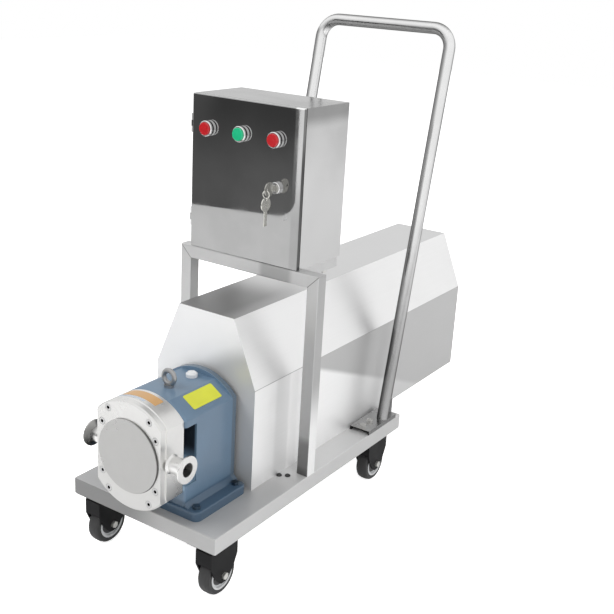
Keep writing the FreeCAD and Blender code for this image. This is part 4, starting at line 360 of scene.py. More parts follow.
# %% Masks
class Masks:
    """Sums on the place of a point of a surface and on the direction that it faces."""

    def __init__(self, tree):
        self.tree = tree
        self.where = add(tree, "ShaderNodeTexCoord").outputs["Object"]

    def place(self):
        """The three coordinates of a point, in mm."""
        scaled = add(self.tree, "ShaderNodeVectorMath", {"operation": "SCALE"}, Vector=self.where)
        scaled.inputs["Scale"].default_value = 1 / MM
        return parts(self.tree, scaled.outputs[0])

    def normal(self):
        """The three parts of the direction that the surface faces."""
        return parts(self.tree, add(self.tree, "ShaderNodeNewGeometry").outputs["True Normal"])

    def calc(self, operation, *values):
        """One sum on numbers or sockets."""
        return calc(self.tree, operation, *values)

    def ramp(self, value, start, end, low=0.0, high=1.0):
        """A soft step from low to high."""
        return ramp(self.tree, value, start, end, low, high)

    def fade(self, value, start, end, first, last):
        """A tone that changes softly from one to another."""
        return self.ramp(value, start, end, level(first), level(last))

    def facing(self, axis, sign=1, start=0.6, end=0.9):
        """1 where the surface faces along an axis."""
        return self.ramp(self.calc("MULTIPLY", self.normal()[axis], sign), start, end)

    def span(self, value, start, end, soft=6):
        """1 where a value lies between two limits, with soft edges."""
        enter = self.ramp(value, start - soft, start + soft)
        leave = self.ramp(value, end - soft, end + soft, 1.0, 0.0)
        return self.calc("MULTIPLY", enter, leave)

    def both(self, *masks):
        """1 where all the masks are 1, two or more of them."""
        result = masks[0]
        for mask in masks[1:]:
            result = self.calc("MULTIPLY", result, mask)
        return result

    def over(self, below, mask, above):
        """Lay one value over another where the mask is 1."""
        return self.calc("MULTIPLY_ADD", mask, self.calc("SUBTRACT", above, below), below)

    def darkest(self, *tones):
        """The lowest of several values."""
        result = tones[0]
        for tone in tones[1:]:
            result = self.calc("MINIMUM", result, tone)
        return result

    def off(self, value, middle=0.0):
        """How far a value is from a middle, to either side."""
        return self.calc("ABSOLUTE", self.calc("SUBTRACT", value, middle))

    def distance(self, run, rise):
        """The length of a run and a rise together."""
        return self.calc("SQRT", self.calc("MULTIPLY_ADD", run, run,
                                           self.calc("MULTIPLY", rise, rise)))


print("sums that a mask is made of:", sorted(name for name in vars(Masks) if name[0] != "_"))

# %% [markdown]
# A finish is a material in the making: one main shader, the shared effects that shape its gloss and
# its relief, and the colour, which masks may change from place to place. Metal is painted with a
# tone times its grain, so that even a flat tone is never quite even.

# %% A finish
class Finish(Masks):
    """A material with one main shader."""

    def __init__(self, name, **sockets):
        self.material, tree = empty_material(name)
        super().__init__(tree)
        self.shader = add(tree, "ShaderNodeBsdfPrincipled", **sockets)
        put_out(tree, self.shader.outputs["BSDF"])

    def feed(self, socket, value):
        """Link a value to a socket of the shader."""
        self.tree.links.new(value, self.shader.inputs[socket])

    def effect(self, group, **inputs):
        """The output of a shared effect."""
        node = self.tree.nodes.new("ShaderNodeGroup")
        node.node_tree = group
        self.tree.links.new(self.where, node.inputs["Vector"])
        for key, value in inputs.items():
            node.inputs[key.replace("_", " ")].default_value = value
        return node.outputs[0]

    def between(self, value, low, high):
        """Spread a 0 to 1 value evenly between two limits."""
        spread = add(self.tree, "ShaderNodeMapRange", Value=value, To_Min=low, To_Max=high)
        return spread.outputs["Result"]

    def mix(self, factor, first, second):
        """The first colour where the factor is 0, and the second where it is 1."""
        node = add(self.tree, "ShaderNodeMix", {"data_type": "RGBA"})
        self.tree.links.new(factor, node.inputs["Factor"])
        for socket, colour in zip([s for s in node.inputs if s.type == "RGBA"], (first, second)):
            fill(self.tree, socket, (*colour, 1) if isinstance(colour, tuple) else colour)
        return next(s for s in node.outputs if s.type == "RGBA")

    def bump(self, height, depth):
        """Give the shader fine relief, depth in mm."""
        node = add(self.tree, "ShaderNodeBump", Height=height, Distance=depth * MM, Strength=1.0)
        self.feed("Normal", node.outputs["Normal"])

    def paint(self, tone, colour=(1, 1, 1)):
        """Make the base colour of metal from a tone and the metal's grain."""
        scaled = add(self.tree, "ShaderNodeVectorMath", {"operation": "SCALE"})
        scaled.inputs[0].default_value = colour
        self.tree.links.new(self.calc("MULTIPLY", tone, self.grain), scaled.inputs["Scale"])
        self.feed("Base Color", scaled.outputs[0])

    def repaint(self, mask, colour):
        """Lay another colour over the base colour where the mask is 1."""
        base = self.shader.inputs["Base Color"].links[0].from_socket
        self.feed("Base Color", self.mix(mask, base, colour))


def count_nodes(*made):
    """What a cell made: the nodes in each of its finishes."""
    print("nodes:", {finish.material.name: len(finish.tree.nodes) for finish in made})


print("what a finish adds to masks:", sorted(name for name in vars(Finish) if name[0] != "_"))

# %% [markdown]
# Stainless sheet is brushed on a belt before it is folded, so its scratches run the length of each
# part. Castings and tubes are buffed instead, and plated parts are bright with faint clouds. Two
# makers cover all of it, and what a shaded picture of the room needs, the tones, comes on top.

# %% Kinds of metal
LONG = 6
FINE = 900
SCRATCH_DEPTH = 0.02
SCRATCH_SHARE = 0.7
SHEET_CLOUDS = 5.0
SHEET_GRAIN = (0.93, 1.04)
POLISH_GRAIN = (0.95, 1.02)


def brushed(name, along, rough=(0.3, 0.46), metal=1.0):
    """Sheet or bar with scratches along one axis."""
    steel = Finish(name, Metallic=metal)
    sizes = {"Along_" + axis: (LONG if axis == along else FINE) for axis in "XYZ"}
    line = steel.effect(scratches, **sizes)
    cloud = steel.effect(clouds, Scale=SHEET_CLOUDS)
    mixed = steel.calc("MULTIPLY_ADD", line, SCRATCH_SHARE,
                       steel.calc("MULTIPLY", cloud, 1 - SCRATCH_SHARE))
    steel.feed("Roughness", steel.between(mixed, *rough))
    steel.bump(line, SCRATCH_DEPTH)
    steel.grain = steel.between(mixed, *SHEET_GRAIN)
    return steel


def polished(name, rough=(0.08, 0.2), scale=18.0):
    """Buffed or plated metal with faint cloudy patches."""
    steel = Finish(name, Metallic=1.0)
    cloud = steel.effect(clouds, Scale=scale)
    steel.feed("Roughness", steel.between(cloud, *rough))
    steel.grain = steel.between(cloud, *POLISH_GRAIN)
    return steel


def plain_steel(name, tone, rough, colour=(1, 1, 1)):
    """Polished metal of one tone."""
    steel = polished(name, rough)
    steel.paint(level(tone), colour)
    return steel


def in_mm(corners):
    """The lowest and highest corner of a piece, from metres to mm."""
    return [corner / MM for corner in corners]


tray_low, tray_high = in_mm(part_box("base_tray"))
hood_low, hood_high = in_mm(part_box("motor_hood"))
stand_low, stand_high = in_mm(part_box("stand_frame"))
print("deck:", round(tray_high.z), "mm up; hood:", round(hood_high.z), "mm up")

# %% [markdown]
# The tray is folded from one sheet. Its rim carries a painted reflection, darker at the front left,
# where it mirrors the dark half of the room, and painted light on its right side. Its deck carries
# painted shade round the pump. Coarse scratches scatter light like paper, so the sheet is part
# metal and part diffuse, and on the deck almost all diffuse: a mirror there would show a sharp blue
# pump, which the photograph doesn't.

# %% Tray
RIM_METAL, DECK_METAL = 0.6, 0.15
DECK_SHADE_REACH = (190, 290)
RIM_REFLECTION_SPAN = (-45, 60)

tray = brushed("brushed tray sheet", "X", metal=RIM_METAL)
x, y, z = tray.place()
# Painted shade: the deck is darker round the pump.
tone = tray.fade(y, *(tray_low.y + reach for reach in DECK_SHADE_REACH), 182, 212)
# Painted reflection: the front of the rim is darker towards the left.
tone = tray.over(tone, tray.facing("Y", -1), tray.fade(x, *RIM_REFLECTION_SPAN, 138, 182))
# Painted light: the right side of the rim is lighter.
tone = tray.over(tone, tray.facing("X"), level(202))
tray.feed("Metallic", tray.over(RIM_METAL, tray.facing("Z"), DECK_METAL))
tray.paint(tone)
count_nodes(tray)

# %% [markdown]
# The hood is one long folded sheet, and its tones are painted reflection and painted shade. In
# front it carries a painted shade beside the pump, on top and on its side the painted shade of the
# stand, and beyond the stand its side is painted grey above a slanted line. Each shade is a soft
# step along a coordinate, and each face has its own, because a fold cuts a reflection off sharply.
# The line under the shoulder is painted shade along the crease that the folding press leaves.

# %% Hood
HOOD_METAL, FRONT_METAL, SIDE_METAL = 0.96, 0.25, 0.45
UPRIGHT_ONLY = (0.95, 0.98)
PUMP_SHADE = (125, 250)
PUMP_SHADE_REACH = (150, 190)
STRIPE = 42
LINE_SLOPE = 0.4
LINE = (277, 291)
CREASE_RISE = (204.0, 205.4)
CREASE_IN = (1.2, 0.6)

hood = brushed("brushed hood sheet", "Y", metal=HOOD_METAL)
x, y, z = hood.place()
before_stand = hood.ramp(y, stand_low.y, stand_low.y + 10, 1.0, 0.0)
front_face = hood.facing("Y", -1)
side_face = hood.facing("X", 1, *UPRIGHT_ONLY)

# Painted shade beside the pump, on the front face.
near_pump = hood.distance(hood.calc("SUBTRACT", x, PUMP_SHADE[0]),
                          hood.calc("SUBTRACT", z, PUMP_SHADE[1]))
shade = hood.ramp(near_pump, *PUMP_SHADE_REACH, 1.0, 0.0)
tone = hood.over(level(246), front_face, hood.over(level(241), shade, level(198)))

# Painted shade of the stand on the top.
near_stand = hood.ramp(y, stand_low.y + 5, stand_low.y + 130, 1.0, 0.0)
top = hood.over(level(212), near_stand, hood.fade(x, 25, hood_high.x - 53, 156, 196))
tone = hood.over(tone, hood.facing("Z"), top)

# Painted shade of the stand on the near side; beyond it, painted grey above a slanted line.
stripe = hood.span(y, stand_low.y - STRIPE, stand_low.y + 2, 7)
near_side = hood.over(level(246), stripe, level(232))
below = hood.ramp(hood.calc("MULTIPLY_ADD", y, LINE_SLOPE, z), *LINE, 1.0, 0.0)
far_side = hood.over(level(189), below, hood.fade(y, -70, 250, 250, 208))
tone = hood.over(tone, side_face, hood.over(far_side, before_stand, near_side))
tone = hood.over(tone, hood.facing("X", -1, *UPRIGHT_ONLY), level(196))

# Painted shade along the crease under the shoulder.
crease_shade = hood.both(hood.ramp(x, *(hood_high.x - depth for depth in CREASE_IN)),
                   hood.span(z, *(tray_high.z + rise for rise in CREASE_RISE), 0.4))
tone = hood.over(tone, crease_shade, level(185))
metal = hood.over(HOOD_METAL, front_face, FRONT_METAL)
hood.feed("Metallic", hood.over(metal, side_face, SIDE_METAL))
hood.paint(tone)
count_nodes(hood)

# %% [markdown]
# The stand is square tube, cut at 45 degrees and welded at its two top corners, then ground flush,
# so all that shows of the joint is a thin line. The line lies where a point is as far from the
# outer side as from the top. A band of the stand carries a painted shade of the box, and the sides
# of the posts painted light and shade. The feet of the posts are painted darker, a painted
# reflection of the floor's shade.

# %% Stand
STAND_TUBE = 26
BOX_SHADE = (38, 108)
FOOT_SHADES = ((400, 520, 174, 198), (208, 250, 134, 206), (145, 205, 98, 206))
LINE_CORE, LINE_REACH = 0.4, 1.4

stand = brushed("brushed square tube", "Z", metal=0.7)
x, y, z = stand.place()
# Painted shade of the box on a band of the stand.
tone = stand.over(level(200), stand.span(x, *BOX_SHADE, 8), level(168))
right_post = stand.ramp(x, stand_high.x - STAND_TUBE - 1, stand_high.x - STAND_TUBE + 1)
# Painted reflection of the floor's shade: the front of the right post darkens towards its foot.
foot = stand.darkest(*(stand.fade(z, *shade) for shade in FOOT_SHADES))
tone = stand.over(tone, stand.both(right_post, stand.facing("Y", -1)), foot)
# Painted light and shade on the sides of the posts.
aside = stand.over(level(200), stand.ramp(x, -1, 1, 1.0, 0.0), level(172))
aside = stand.over(aside, right_post, stand.fade(z, 240, 350, 240, 176))
tone = stand.over(tone, stand.facing("X"), aside)

middle = (stand_low.x + stand_high.x) / 2
half = (stand_high.x - stand_low.x) / 2
across = stand.calc("SUBTRACT", half, stand.off(x, middle))
down = stand.calc("SUBTRACT", stand_high.z, z)
mitre = stand.both(stand.ramp(stand.off(across, down), LINE_CORE, LINE_REACH, 1.0, 0.0),
                   stand.calc("LESS_THAN", down, STAND_TUBE), stand.facing("Y", -1))
stand.paint(stand.over(tone, mitre, level(120)))
print("stand:", round(2 * half), "mm wide")
count_nodes(stand)

# %% [markdown]
# The handle is round tube, and a round tube squeezes the whole room into thin stripes along its
# length; its tones are that reflection, painted. The legs are dark on their left and bright on
# their right, the bar on top is dark below and above, and the whole tube is painted darker towards
# the floor. The sums follow the direction of the surface instead of its place, so the stripes go
# round the bends. The folded feet are duller, and their front and right side carry painted shade.

# %% Handle
BAR_FROM, BAR_WHOLE = 42, 26
TO_RIGHT = (0.84, 0.54)
SOFT_EDGE = (0.3, 0.3, 0.3, 1)

tube = polished("polished handle tube", rough=(0.12, 0.24))
tube.shader.inputs["Specular Tint"].default_value = SOFT_EDGE
z = tube.place()["Z"]
tube_top = in_mm(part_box("handle_tube"))[1].z
normal = tube.normal()
rightwards = tube.calc("MULTIPLY_ADD", normal["X"], TO_RIGHT[0],
                       tube.calc("MULTIPLY", normal["Y"], TO_RIGHT[1]))
# Painted reflection: stripes by the direction that the tube faces.
leg = tube.darkest(tube.fade(rightwards, -0.85, -0.15, 136, 245),
                   tube.fade(rightwards, 0.6, 1.0, 234, 170))
bar = tube.darkest(tube.fade(normal["Z"], -0.25, 0.45, 134, 230),
                   tube.fade(normal["Z"], 0.6, 0.95, 230, 148))
tone = tube.over(leg, tube.ramp(z, tube_top - BAR_FROM, tube_top - BAR_WHOLE), bar)
# Painted shade: the tube is darker towards the floor.
tube.paint(tube.calc("MULTIPLY", tone, tube.fade(z, 250, 620, 172, 252)))

foot_steel = polished("folded handle foot", rough=(0.2, 0.35))
# Painted shade on the front and the right side of the feet.
tone = foot_steel.over(level(185), foot_steel.facing("Y", -1, 0.3, 0.6), level(48))
foot_steel.paint(foot_steel.over(tone, foot_steel.facing("X"), level(120)))
print("handle's top:", round(tube_top), "mm up")

# %% [markdown]
# The box is folded from mirror sheet. The door is left a true mirror, so that it answers the card
# and the buttons as the real one does, and it gets only a painted highlight in a strip beside the
# card and painted shade on its edge. The side of the box is painted darker towards the bottom and
# along its top, and the roof carries painted shade.

# %% Control box
STRIP_FROM, STRIP_WHOLE = 20, 16

door_low, door_high = in_mm(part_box("enclosure_door"))
door = polished("mirror polished door", rough=(0.015, 0.04))
x, y, z = door.place()
# Painted highlight in a strip along the door's right side.
highlight_strip = door.ramp(x, door_high.x - STRIP_FROM, door_high.x - STRIP_WHOLE)
tone = door.over(level(169), highlight_strip, door.fade(z, door_high.z - 220, door_high.z - 20, 160, 250))
# Painted shade on the door's side edge.
edge_shade = door.fade(z, door_high.z - 110, door_high.z - 40, 88, 150)
door.paint(door.over(tone, door.facing("X"), edge_shade))

box_low, box_high = in_mm(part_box("enclosure_body"))
box = polished("mirror polished box sheet", rough=(0.1, 0.2), scale=9.0)
z = box.place()["Z"]
# Painted shade: darker towards the bottom and along the top, and on the roof.
tone = box.fade(z, box_low.z, box_high.z - 30, 196, 232)
tone = box.over(tone, box.ramp(z, box_high.z - 42, box_high.z - 14), level(180))
box.paint(box.over(tone, box.facing("Z"), level(128)))
print("door:", round(door_high.x - door_low.x), "by", round(door_high.z - door_low.z), "mm")

# %% [markdown]
# The pump's casing and cover are cast and then polished, so they are a little warmer and rougher
# than sheet. Both are painted darker towards the bottom, and the front of the casing lighter, as
# painted shade and light. The cover's raised disc is duller, with a thin painted shade line round
# its right side. The left port lies in painted shade of the casing.

# %% Pump
DISC_RADIUS = 69.5
WARM = (1, 0.995, 0.98)

casing_low, casing_high = in_mm(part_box("rotor_casing"))
PUMP_X = (casing_low.x + casing_high.x) / 2
PUMP_Z = (casing_low.z + casing_high.z) / 2

casing = polished("polished pump casting", rough=(0.24, 0.38))
x, y, z = casing.place()
# Painted shade and light: darker below, lighter on the front.
tone = casing.fade(z, PUMP_Z - 80, PUMP_Z + 20, 196, 226)
tone = casing.over(tone, casing.facing("Y", -1), level(244))
left_port = casing.ramp(x, casing_low.x + 12, casing_low.x + 22, 1.0, 0.0)
# Painted shade on the left port.
in_shade = casing.fade(z, PUMP_Z - 12, PUMP_Z + 24, 85, 190)
casing.paint(casing.over(tone, left_port, in_shade), WARM)

cover = polished("polished pump cover", rough=(0.26, 0.4))
x, y, z = cover.place()
reach = cover.distance(cover.calc("SUBTRACT", x, PUMP_X), cover.calc("SUBTRACT", z, PUMP_Z))
disc = cover.ramp(reach, DISC_RADIUS - 1.0, DISC_RADIUS - 0.4, 1.0, 0.0)
# Painted shade: the cover is darker towards the bottom.
tone = cover.over(cover.fade(z, PUMP_Z - 40, PUMP_Z + 90, 212, 225), disc, level(187))
# Painted shade line round the right side of the disc.
groove_shade = cover.ramp(cover.off(reach, DISC_RADIUS), 0.3, 1.1, 1.0, 0.0)
cover.paint(cover.over(tone, cover.both(groove_shade, cover.ramp(x, -30, 50)), level(120)), WARM)
print("pump's middle:", round(PUMP_X), round(PUMP_Z), "mm")

# %% [markdown]
# Small metal parts are plated, blackened or turned, and each is plain metal of its own tone. Some
# have a second tone by depth: the bolts beside the pump are painted over with the housing, the
# hollow of each cover screw carries painted shadow, and the button bezels carry a painted
# reflection, dark between two bright rims.
# The loose key hangs close before the mirror door. The photograph is too soft to show its mirror
# image, so the key lets reflected rays pass.

# %% Small metal parts
chrome = plain_steel("bright chrome", 228, (0.05, 0.12))
eye = plain_steel("dark forged steel", 172, (0.3, 0.45))
screw_dark = plain_steel("blackened screw", 75, (0.3, 0.45))
brass = plain_steel("brass rim", 215, (0.2, 0.3), (1, 0.8, 0.42))
machined = brushed("turned steel", "Z", rough=(0.25, 0.4))
machined.paint(level(195))

zinc = plain_steel("zinc plate", 205, (0.25, 0.4), (1, 0.99, 0.96))
by_pump = zinc.ramp(zinc.place()["Y"], hood_low.y - 8, hood_low.y - 4, 1.0, 0.0)
zinc.repaint(by_pump, (0.10, 0.14, 0.18))

screw_front = in_mm(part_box("cover_screws"))[0].y
socket_screw = plain_steel("socket screw", 205, (0.25, 0.4))
# Painted shadow in the socket of each screw.
hollow_shade = socket_screw.ramp(socket_screw.place()["Y"], screw_front + 0.4, screw_front + 0.8)
socket_screw.repaint(hollow_shade, (0.01, 0.01, 0.01))

bezel_front = in_mm(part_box("button_bezels"))[0].y
bezel = polished("button bezel", rough=(0.08, 0.16))
# Painted reflection: a dark ring between two bright rims.
reflected_dark_ring = bezel.span(bezel.place()["Y"], bezel_front + 4.5, bezel_front + 9, 0.8)
bezel.paint(bezel.over(level(236), reflected_dark_ring, level(60)))

NICKEL = (1, 0.99, 0.93)
key_metal = plain_steel("nickel key", 186, (0.2, 0.32), NICKEL)
loose_key = plain_steel("loose nickel key", 226, (0.2, 0.32), NICKEL)
tree = loose_key.tree
mirrored = add(tree, "ShaderNodeLightPath").outputs["Is Glossy Ray"]
clear = add(tree, "ShaderNodeBsdfTransparent").outputs[0]
output = next(node for node in tree.nodes if node.type == "OUTPUT_MATERIAL")
tree.links.new(mix_shaders(tree, mirrored, loose_key.shader.outputs[0], clear),
               output.inputs["Surface"])
count_nodes(chrome, zinc, socket_screw, bezel, loose_key)

# %% [markdown]
# Enamel, rubber and moulded plastic are not metal: their colour comes from within, under a thin
# gloss. One maker covers them all: a colour that drifts a little, a fine skin as relief, and for
# enamel and buttons a clear coat. The enamel has a slight orange-peel skin, and tyres are satin.

# %% Enamel, rubber and plastic
DRIFT = 0.9
COAT_ROUGH = 0.12
MOULD_CLOUDS = 14.0


def moulded(name, colour, rough=(0.3, 0.42), relief=0.03, grain=900.0, coat=0.0, shine=0.5):
    """Anything that is not bare metal: a colour with faint drift, and a fine skin (mm)."""
    stuff = Finish(name, Coat_Weight=coat, Coat_Roughness=COAT_ROUGH, Specular_IOR_Level=shine)
    cloud = stuff.effect(clouds, Scale=MOULD_CLOUDS)
    darker = tuple(DRIFT * channel for channel in colour)
    stuff.feed("Base Color", stuff.mix(cloud, darker, colour))
    stuff.feed("Roughness", stuff.between(cloud, *rough))
    stuff.bump(stuff.effect(skin, Scale=grain), relief)
    return stuff


BUTTON = {"rough": (0.15, 0.25), "relief": 0.01, "coat": 0.4}
FILM = {"rough": (0.3, 0.4), "relief": 0.01}
COATED = {"rough": (0.4, 0.55), "shine": 0.15}

red = moulded("red button", (0.55, 0.012, 0.018), **BUTTON)
green = moulded("green button", (0.01, 0.52, 0.24), **BUTTON)
black_coat = moulded("black powder coat", (0.01, 0.01, 0.011), **COATED)
tyre_rubber = moulded("tyre rubber", (0.03, 0.03, 0.031), rough=(0.4, 0.55), relief=0.06)
black_plastic = moulded("black moulding", (0.03, 0.03, 0.032))
grey_plastic = moulded("light grey moulding", (0.5, 0.51, 0.52))
seal_black = moulded("seal rubber", (0.035, 0.035, 0.036), rough=(0.5, 0.7))
cap_white = moulded("white cap", (0.8, 0.81, 0.82), rough=(0.25, 0.35))
motor_grey = moulded("motor enamel", (0.3, 0.32, 0.34), rough=(0.35, 0.5), relief=0.1,
                     grain=500.0)
bed_grey = moulded("bed enamel", (0.2, 0.21, 0.22), rough=(0.4, 0.55))
spider_red = moulded("red coupling rubber", (0.35, 0.03, 0.02))
yellow_film = moulded("yellow film", (0.78, 0.80, 0.06), **FILM)
orange_film = moulded("orange film", (0.68, 0.40, 0.17), **FILM)
pale_film = moulded("pale film", (0.60, 0.66, 0.74), **FILM)
count_nodes(red, black_coat, yellow_film)

# %% [markdown]
# The gear housing is enamelled casting. Its feet and rear flange are painted darker, a painted
# shade, since light reaches them less. The windows at the shaft seals look into a deep hollow:
# above the ports they carry painted shade, almost black, and below them painted light, as if it
# came in from the side. More lamps could make these shades, but they would change everything else
# too, so they are laid on by place.

# %% Gear housing
ROOM_FROM, ROOM_TO = 2, 50
ROOM_SOFT = 2
FEET = (26, 34)
FLANGE = (12, 9)

house_low, house_high = in_mm(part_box("gear_housing"))
enamel = moulded("grey-blue enamel", (0.141, 0.225, 0.325), rough=(0.28, 0.4), relief=0.12,
                 grain=260.0, coat=0.3)
x, y, z = enamel.place()
# Painted shade on the feet.
feet = enamel.ramp(z, *(house_low.z + rise for rise in FEET), 1.0, 0.0)
enamel.repaint(feet, (0.062, 0.112, 0.175))
# Painted shade on the rear flange.
flange = enamel.ramp(y, *(house_high.y - depth for depth in FLANGE))
enamel.repaint(flange, (0.105, 0.15, 0.2))

aside = enamel.off(x)
room_start = house_low.y + ROOM_FROM
room_end = house_low.y + ROOM_TO
in_room = enamel.both(enamel.ramp(y, room_start, room_start + ROOM_SOFT),
                      enamel.ramp(y, room_end - ROOM_SOFT, room_end + ROOM_SOFT, 1.0, 0.0))
# Painted shade in the windows above the ports, almost black.
upper = enamel.both(in_room, enamel.ramp(aside, 76, 79, 1.0, 0.0),
                    enamel.ramp(z, PUMP_Z - 20, PUMP_Z + 10),
                    enamel.ramp(z, PUMP_Z + 66, PUMP_Z + 70, 1.0, 0.0))
enamel.repaint(upper, (0.012, 0.018, 0.028))
# Painted light in the windows below the ports.
lower = enamel.both(in_room, enamel.ramp(aside, 79, 81, 1.0, 0.0),
                    enamel.span(z, PUMP_Z - 66, PUMP_Z - 14, 3))
enamel.repaint(lower, (0.3, 0.44, 0.58))
print("housing:", round(house_high.y - house_low.y), "mm long")

# %% [markdown]
# Each caster has a black fork with bare nuts on its wheel bolt, and a dark hub with a pale rim.
# Nuts and rim belong to the same solid as the rest of their piece, so the second colour is laid on
# by distance from the fork's middle and from the axle. All sums work on the size of the distance,
# so one finish does for all four corners.

# %% Casters
NUT_SHARE = 5
RIM_WIDTH = 7.4
SHARP = 0.2
RIM_EDGE = 0.5

fork_low, fork_high = in_mm(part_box("front_right_fork"))
fork_middle = (fork_low.x + fork_high.x) / 2
plate_half = (fork_high.x - fork_low.x) / 2 - NUT_SHARE
fork = moulded("black fork with bare nuts", (0.01, 0.01, 0.011), **COATED)
aside = fork.off(fork.calc("ABSOLUTE", fork.place()["X"]), fork_middle)
bare = fork.ramp(aside, plate_half, plate_half + SHARP)
fork.repaint(bare, (0.75, 0.75, 0.72))
fork.feed("Metallic", bare)

front_low, front_high = in_mm(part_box("front_right_hub"))
rear_low, rear_high = in_mm(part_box("rear_right_hub"))
front_axle = (front_low.y + front_high.y) / 2
rear_axle = (rear_low.y + rear_high.y) / 2
axle_z = (front_low.z + front_high.z) / 2
hub_radius = (front_high.z - front_low.z) / 2
hub = moulded("pale hub rim", (0.72, 0.73, 0.74), rough=(0.3, 0.4))
x, y, z = hub.place()
run = hub.calc("SUBTRACT", hub.off(y, (front_axle + rear_axle) / 2), (rear_axle - front_axle) / 2)
reach = hub.distance(run, hub.calc("SUBTRACT", z, axle_z))
rim = hub_radius - RIM_WIDTH
hub.repaint(hub.ramp(reach, rim, rim + RIM_EDGE, 1.0, 0.0), (0.05, 0.05, 0.052))
print("axles at", round(front_axle), "and", round(rear_axle), "mm")
print("hub:", round(2 * hub_radius), "mm across")

# %% [markdown]
# Every piece of the construction keeps its mesh and its place, and gets its finish from one table.
# What is left out of the table would stay plain, so the cell prints it.

# %% Dress the pieces
finishes = {
    tray: ["base_tray"],
    hood: ["motor_hood"],
    stand: ["stand_frame"],
    tube: ["handle_tube"],
    foot_steel: ["handle_brackets"],
    box: ["enclosure_body"],
    door: ["enclosure_door"],
    casing: ["rotor_casing"],
    cover: ["front_cover"],
    chrome: ["door_hinges", "lock_barrel"],
    key_metal: ["key"],
    loose_key: ["key_ring", "spare_key"],
    bezel: ["button_bezels"],
    zinc: ["frame_bolts", "mounting_plate", "lock_cam"],
    eye: ["lifting_eye"],
    socket_screw: ["cover_screws"],
    machined: ["drive_rotor", "driven_rotor", "drive_gear", "driven_gear", "drive_shaft",
               "driven_shaft", "bearings", "coupling_halves", "output_shaft", "motor_rotor"],
    brass: ["sight_glass"],
    enamel: ["gear_housing", "rear_cover"],
    black_coat: ["caster_plates"],
    red: ["left_stop_button", "right_stop_button"],
    green: ["start_button"],
    black_plastic: ["box_gland", "button_contacts"],
    grey_plastic: ["switchgear"],
    seal_black: ["door_gasket", "cover_seal", "shaft_seals"],
    cap_white: ["oil_plugs"],
    motor_grey: ["gear_reducer", "motor_body"],
    bed_grey: ["drive_bed"],
    spider_red: ["coupling_spider"],
}
corners = [f"{end}_{side}_" for end in ("front", "rear") for side in ("left", "right")]
finishes[fork] = [corner + "fork" for corner in corners]
finishes[tyre_rubber] = [corner + "tyre" for corner in corners]
finishes[hub] = [corner + "hub" for corner in corners]

for finish, names in finishes.items():
    for name in names:
        nodes[name].data.materials.clear()
        nodes[name].data.materials.append(finish.material)
dressed = {name for names in finishes.values() for name in names}
print("pieces left plain:", sorted(set(nodes) - dressed))

# %% [markdown]
# A modelled piece ends like those of the construction: its object stands at the origin, unturned
# and unscaled, and its mesh keeps the place. It also gets a body to ride on and a finish. Plates
# and screws all end so, and all of them use modifiers, so these steps become helpers.

# %% Finished pieces
def modify(piece, kind, **settings):
    """Add a modifier to a piece and apply it."""
    modifier = piece.modifiers.new(kind.lower(), kind)
    for key, value in settings.items():
        setattr(modifier, key, value)
    bpy.ops.object.modifier_apply(modifier=modifier.name)


def finish_piece(piece, name, finish):
    """Put a modelled piece at the origin, on the frame and in its finish."""
    bpy.ops.object.transform_apply(location=True, rotation=True, scale=True)
    piece.name = piece.data.name = name
    piece.data.materials.append(finish.material)
    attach(piece, "frame")
    print(name, "has", len(piece.data.polygons), "faces")


print("modelled pieces ride on the frame")

# %% [markdown]
# Three bare plates are stuck on the pump, and two of them lie on a round casting. A flat plate
# would float there. So each starts as a flat grid a little above its carrier, turned about Y until
# it faces outwards, and its corners are rounded. A shrinkwrap modifier presses it straight down
# onto the casting, and a solidify modifier then thickens it outwards.

# %% Lay a plate
ROUND_STEPS = 6
ABOVE = 10 * MM


def outwards(turn):
    """The direction up, turned about Y."""
    return Vector((math.sin(turn), 0, math.cos(turn)))


def lay_plate(carrier, place, turn, size, steps, corner, thick):
    """A thin plate with rounded corners, pressed onto a piece of the construction."""
    bpy.ops.object.select_all(action="DESELECT")
    bpy.ops.mesh.primitive_grid_add(x_subdivisions=steps[0], y_subdivisions=steps[1], size=1,
                                    location=place + outwards(turn) * ABOVE, rotation=(0, turn, 0))
    plate = bpy.context.object
    plate.scale = (*size, 1)
    bpy.ops.object.transform_apply(location=False, rotation=False, scale=True)
    bpy.ops.object.mode_set(mode="EDIT")
    pick(plate, "VERT", lambda vertex: len(vertex.link_edges) == 2)
    bpy.ops.mesh.bevel(offset=corner, segments=ROUND_STEPS, affect="VERTICES")
    bpy.ops.object.mode_set(mode="OBJECT")
    modify(plate, "SHRINKWRAP", target=nodes[carrier], wrap_method="PROJECT", use_project_z=True,
           use_negative_direction=True, use_positive_direction=False)
    modify(plate, "SOLIDIFY", thickness=thick, offset=1)
    return plate


print("plates start", ABOVE / MM, "mm above their carrier")

# %% [markdown]
# The yellow plate lies on the right shoulder of the gear housing. The orange one and the pale strip
# beside it lie on top of the rotor casing. Bent round the casing a plate keeps its width, so the
# flat grid is only as wide as the chord of that arc. Each grid is divided most where it bends, and
# a corner has to fit into one field of it.

# %% Bare plates
SHOULDER_TURN = math.atan2(0.526, 0.85)
YELLOW_AT = Vector((57.2, -396, 348.2)) * MM
CASING_RADIUS = 104 * MM

yellow = lay_plate("gear_housing", YELLOW_AT, SHOULDER_TURN, (33 * MM, 78 * MM), (2, 24), 3 * MM,
                   0.6 * MM)
finish_piece(yellow, "yellow_plate", yellow_film)


def on_casing(round_by, along, width, length, corner):
    """A plate on the round top of the rotor casing, round_by from its middle."""
    turn = round_by / CASING_RADIUS
    place = Vector((PUMP_X * MM, along, PUMP_Z * MM)) + outwards(turn) * CASING_RADIUS
    chord = 2 * CASING_RADIUS * math.sin(width / 2 / CASING_RADIUS)
    return lay_plate("rotor_casing", place, turn, (chord, length), (24, 2), corner, 0.4 * MM)


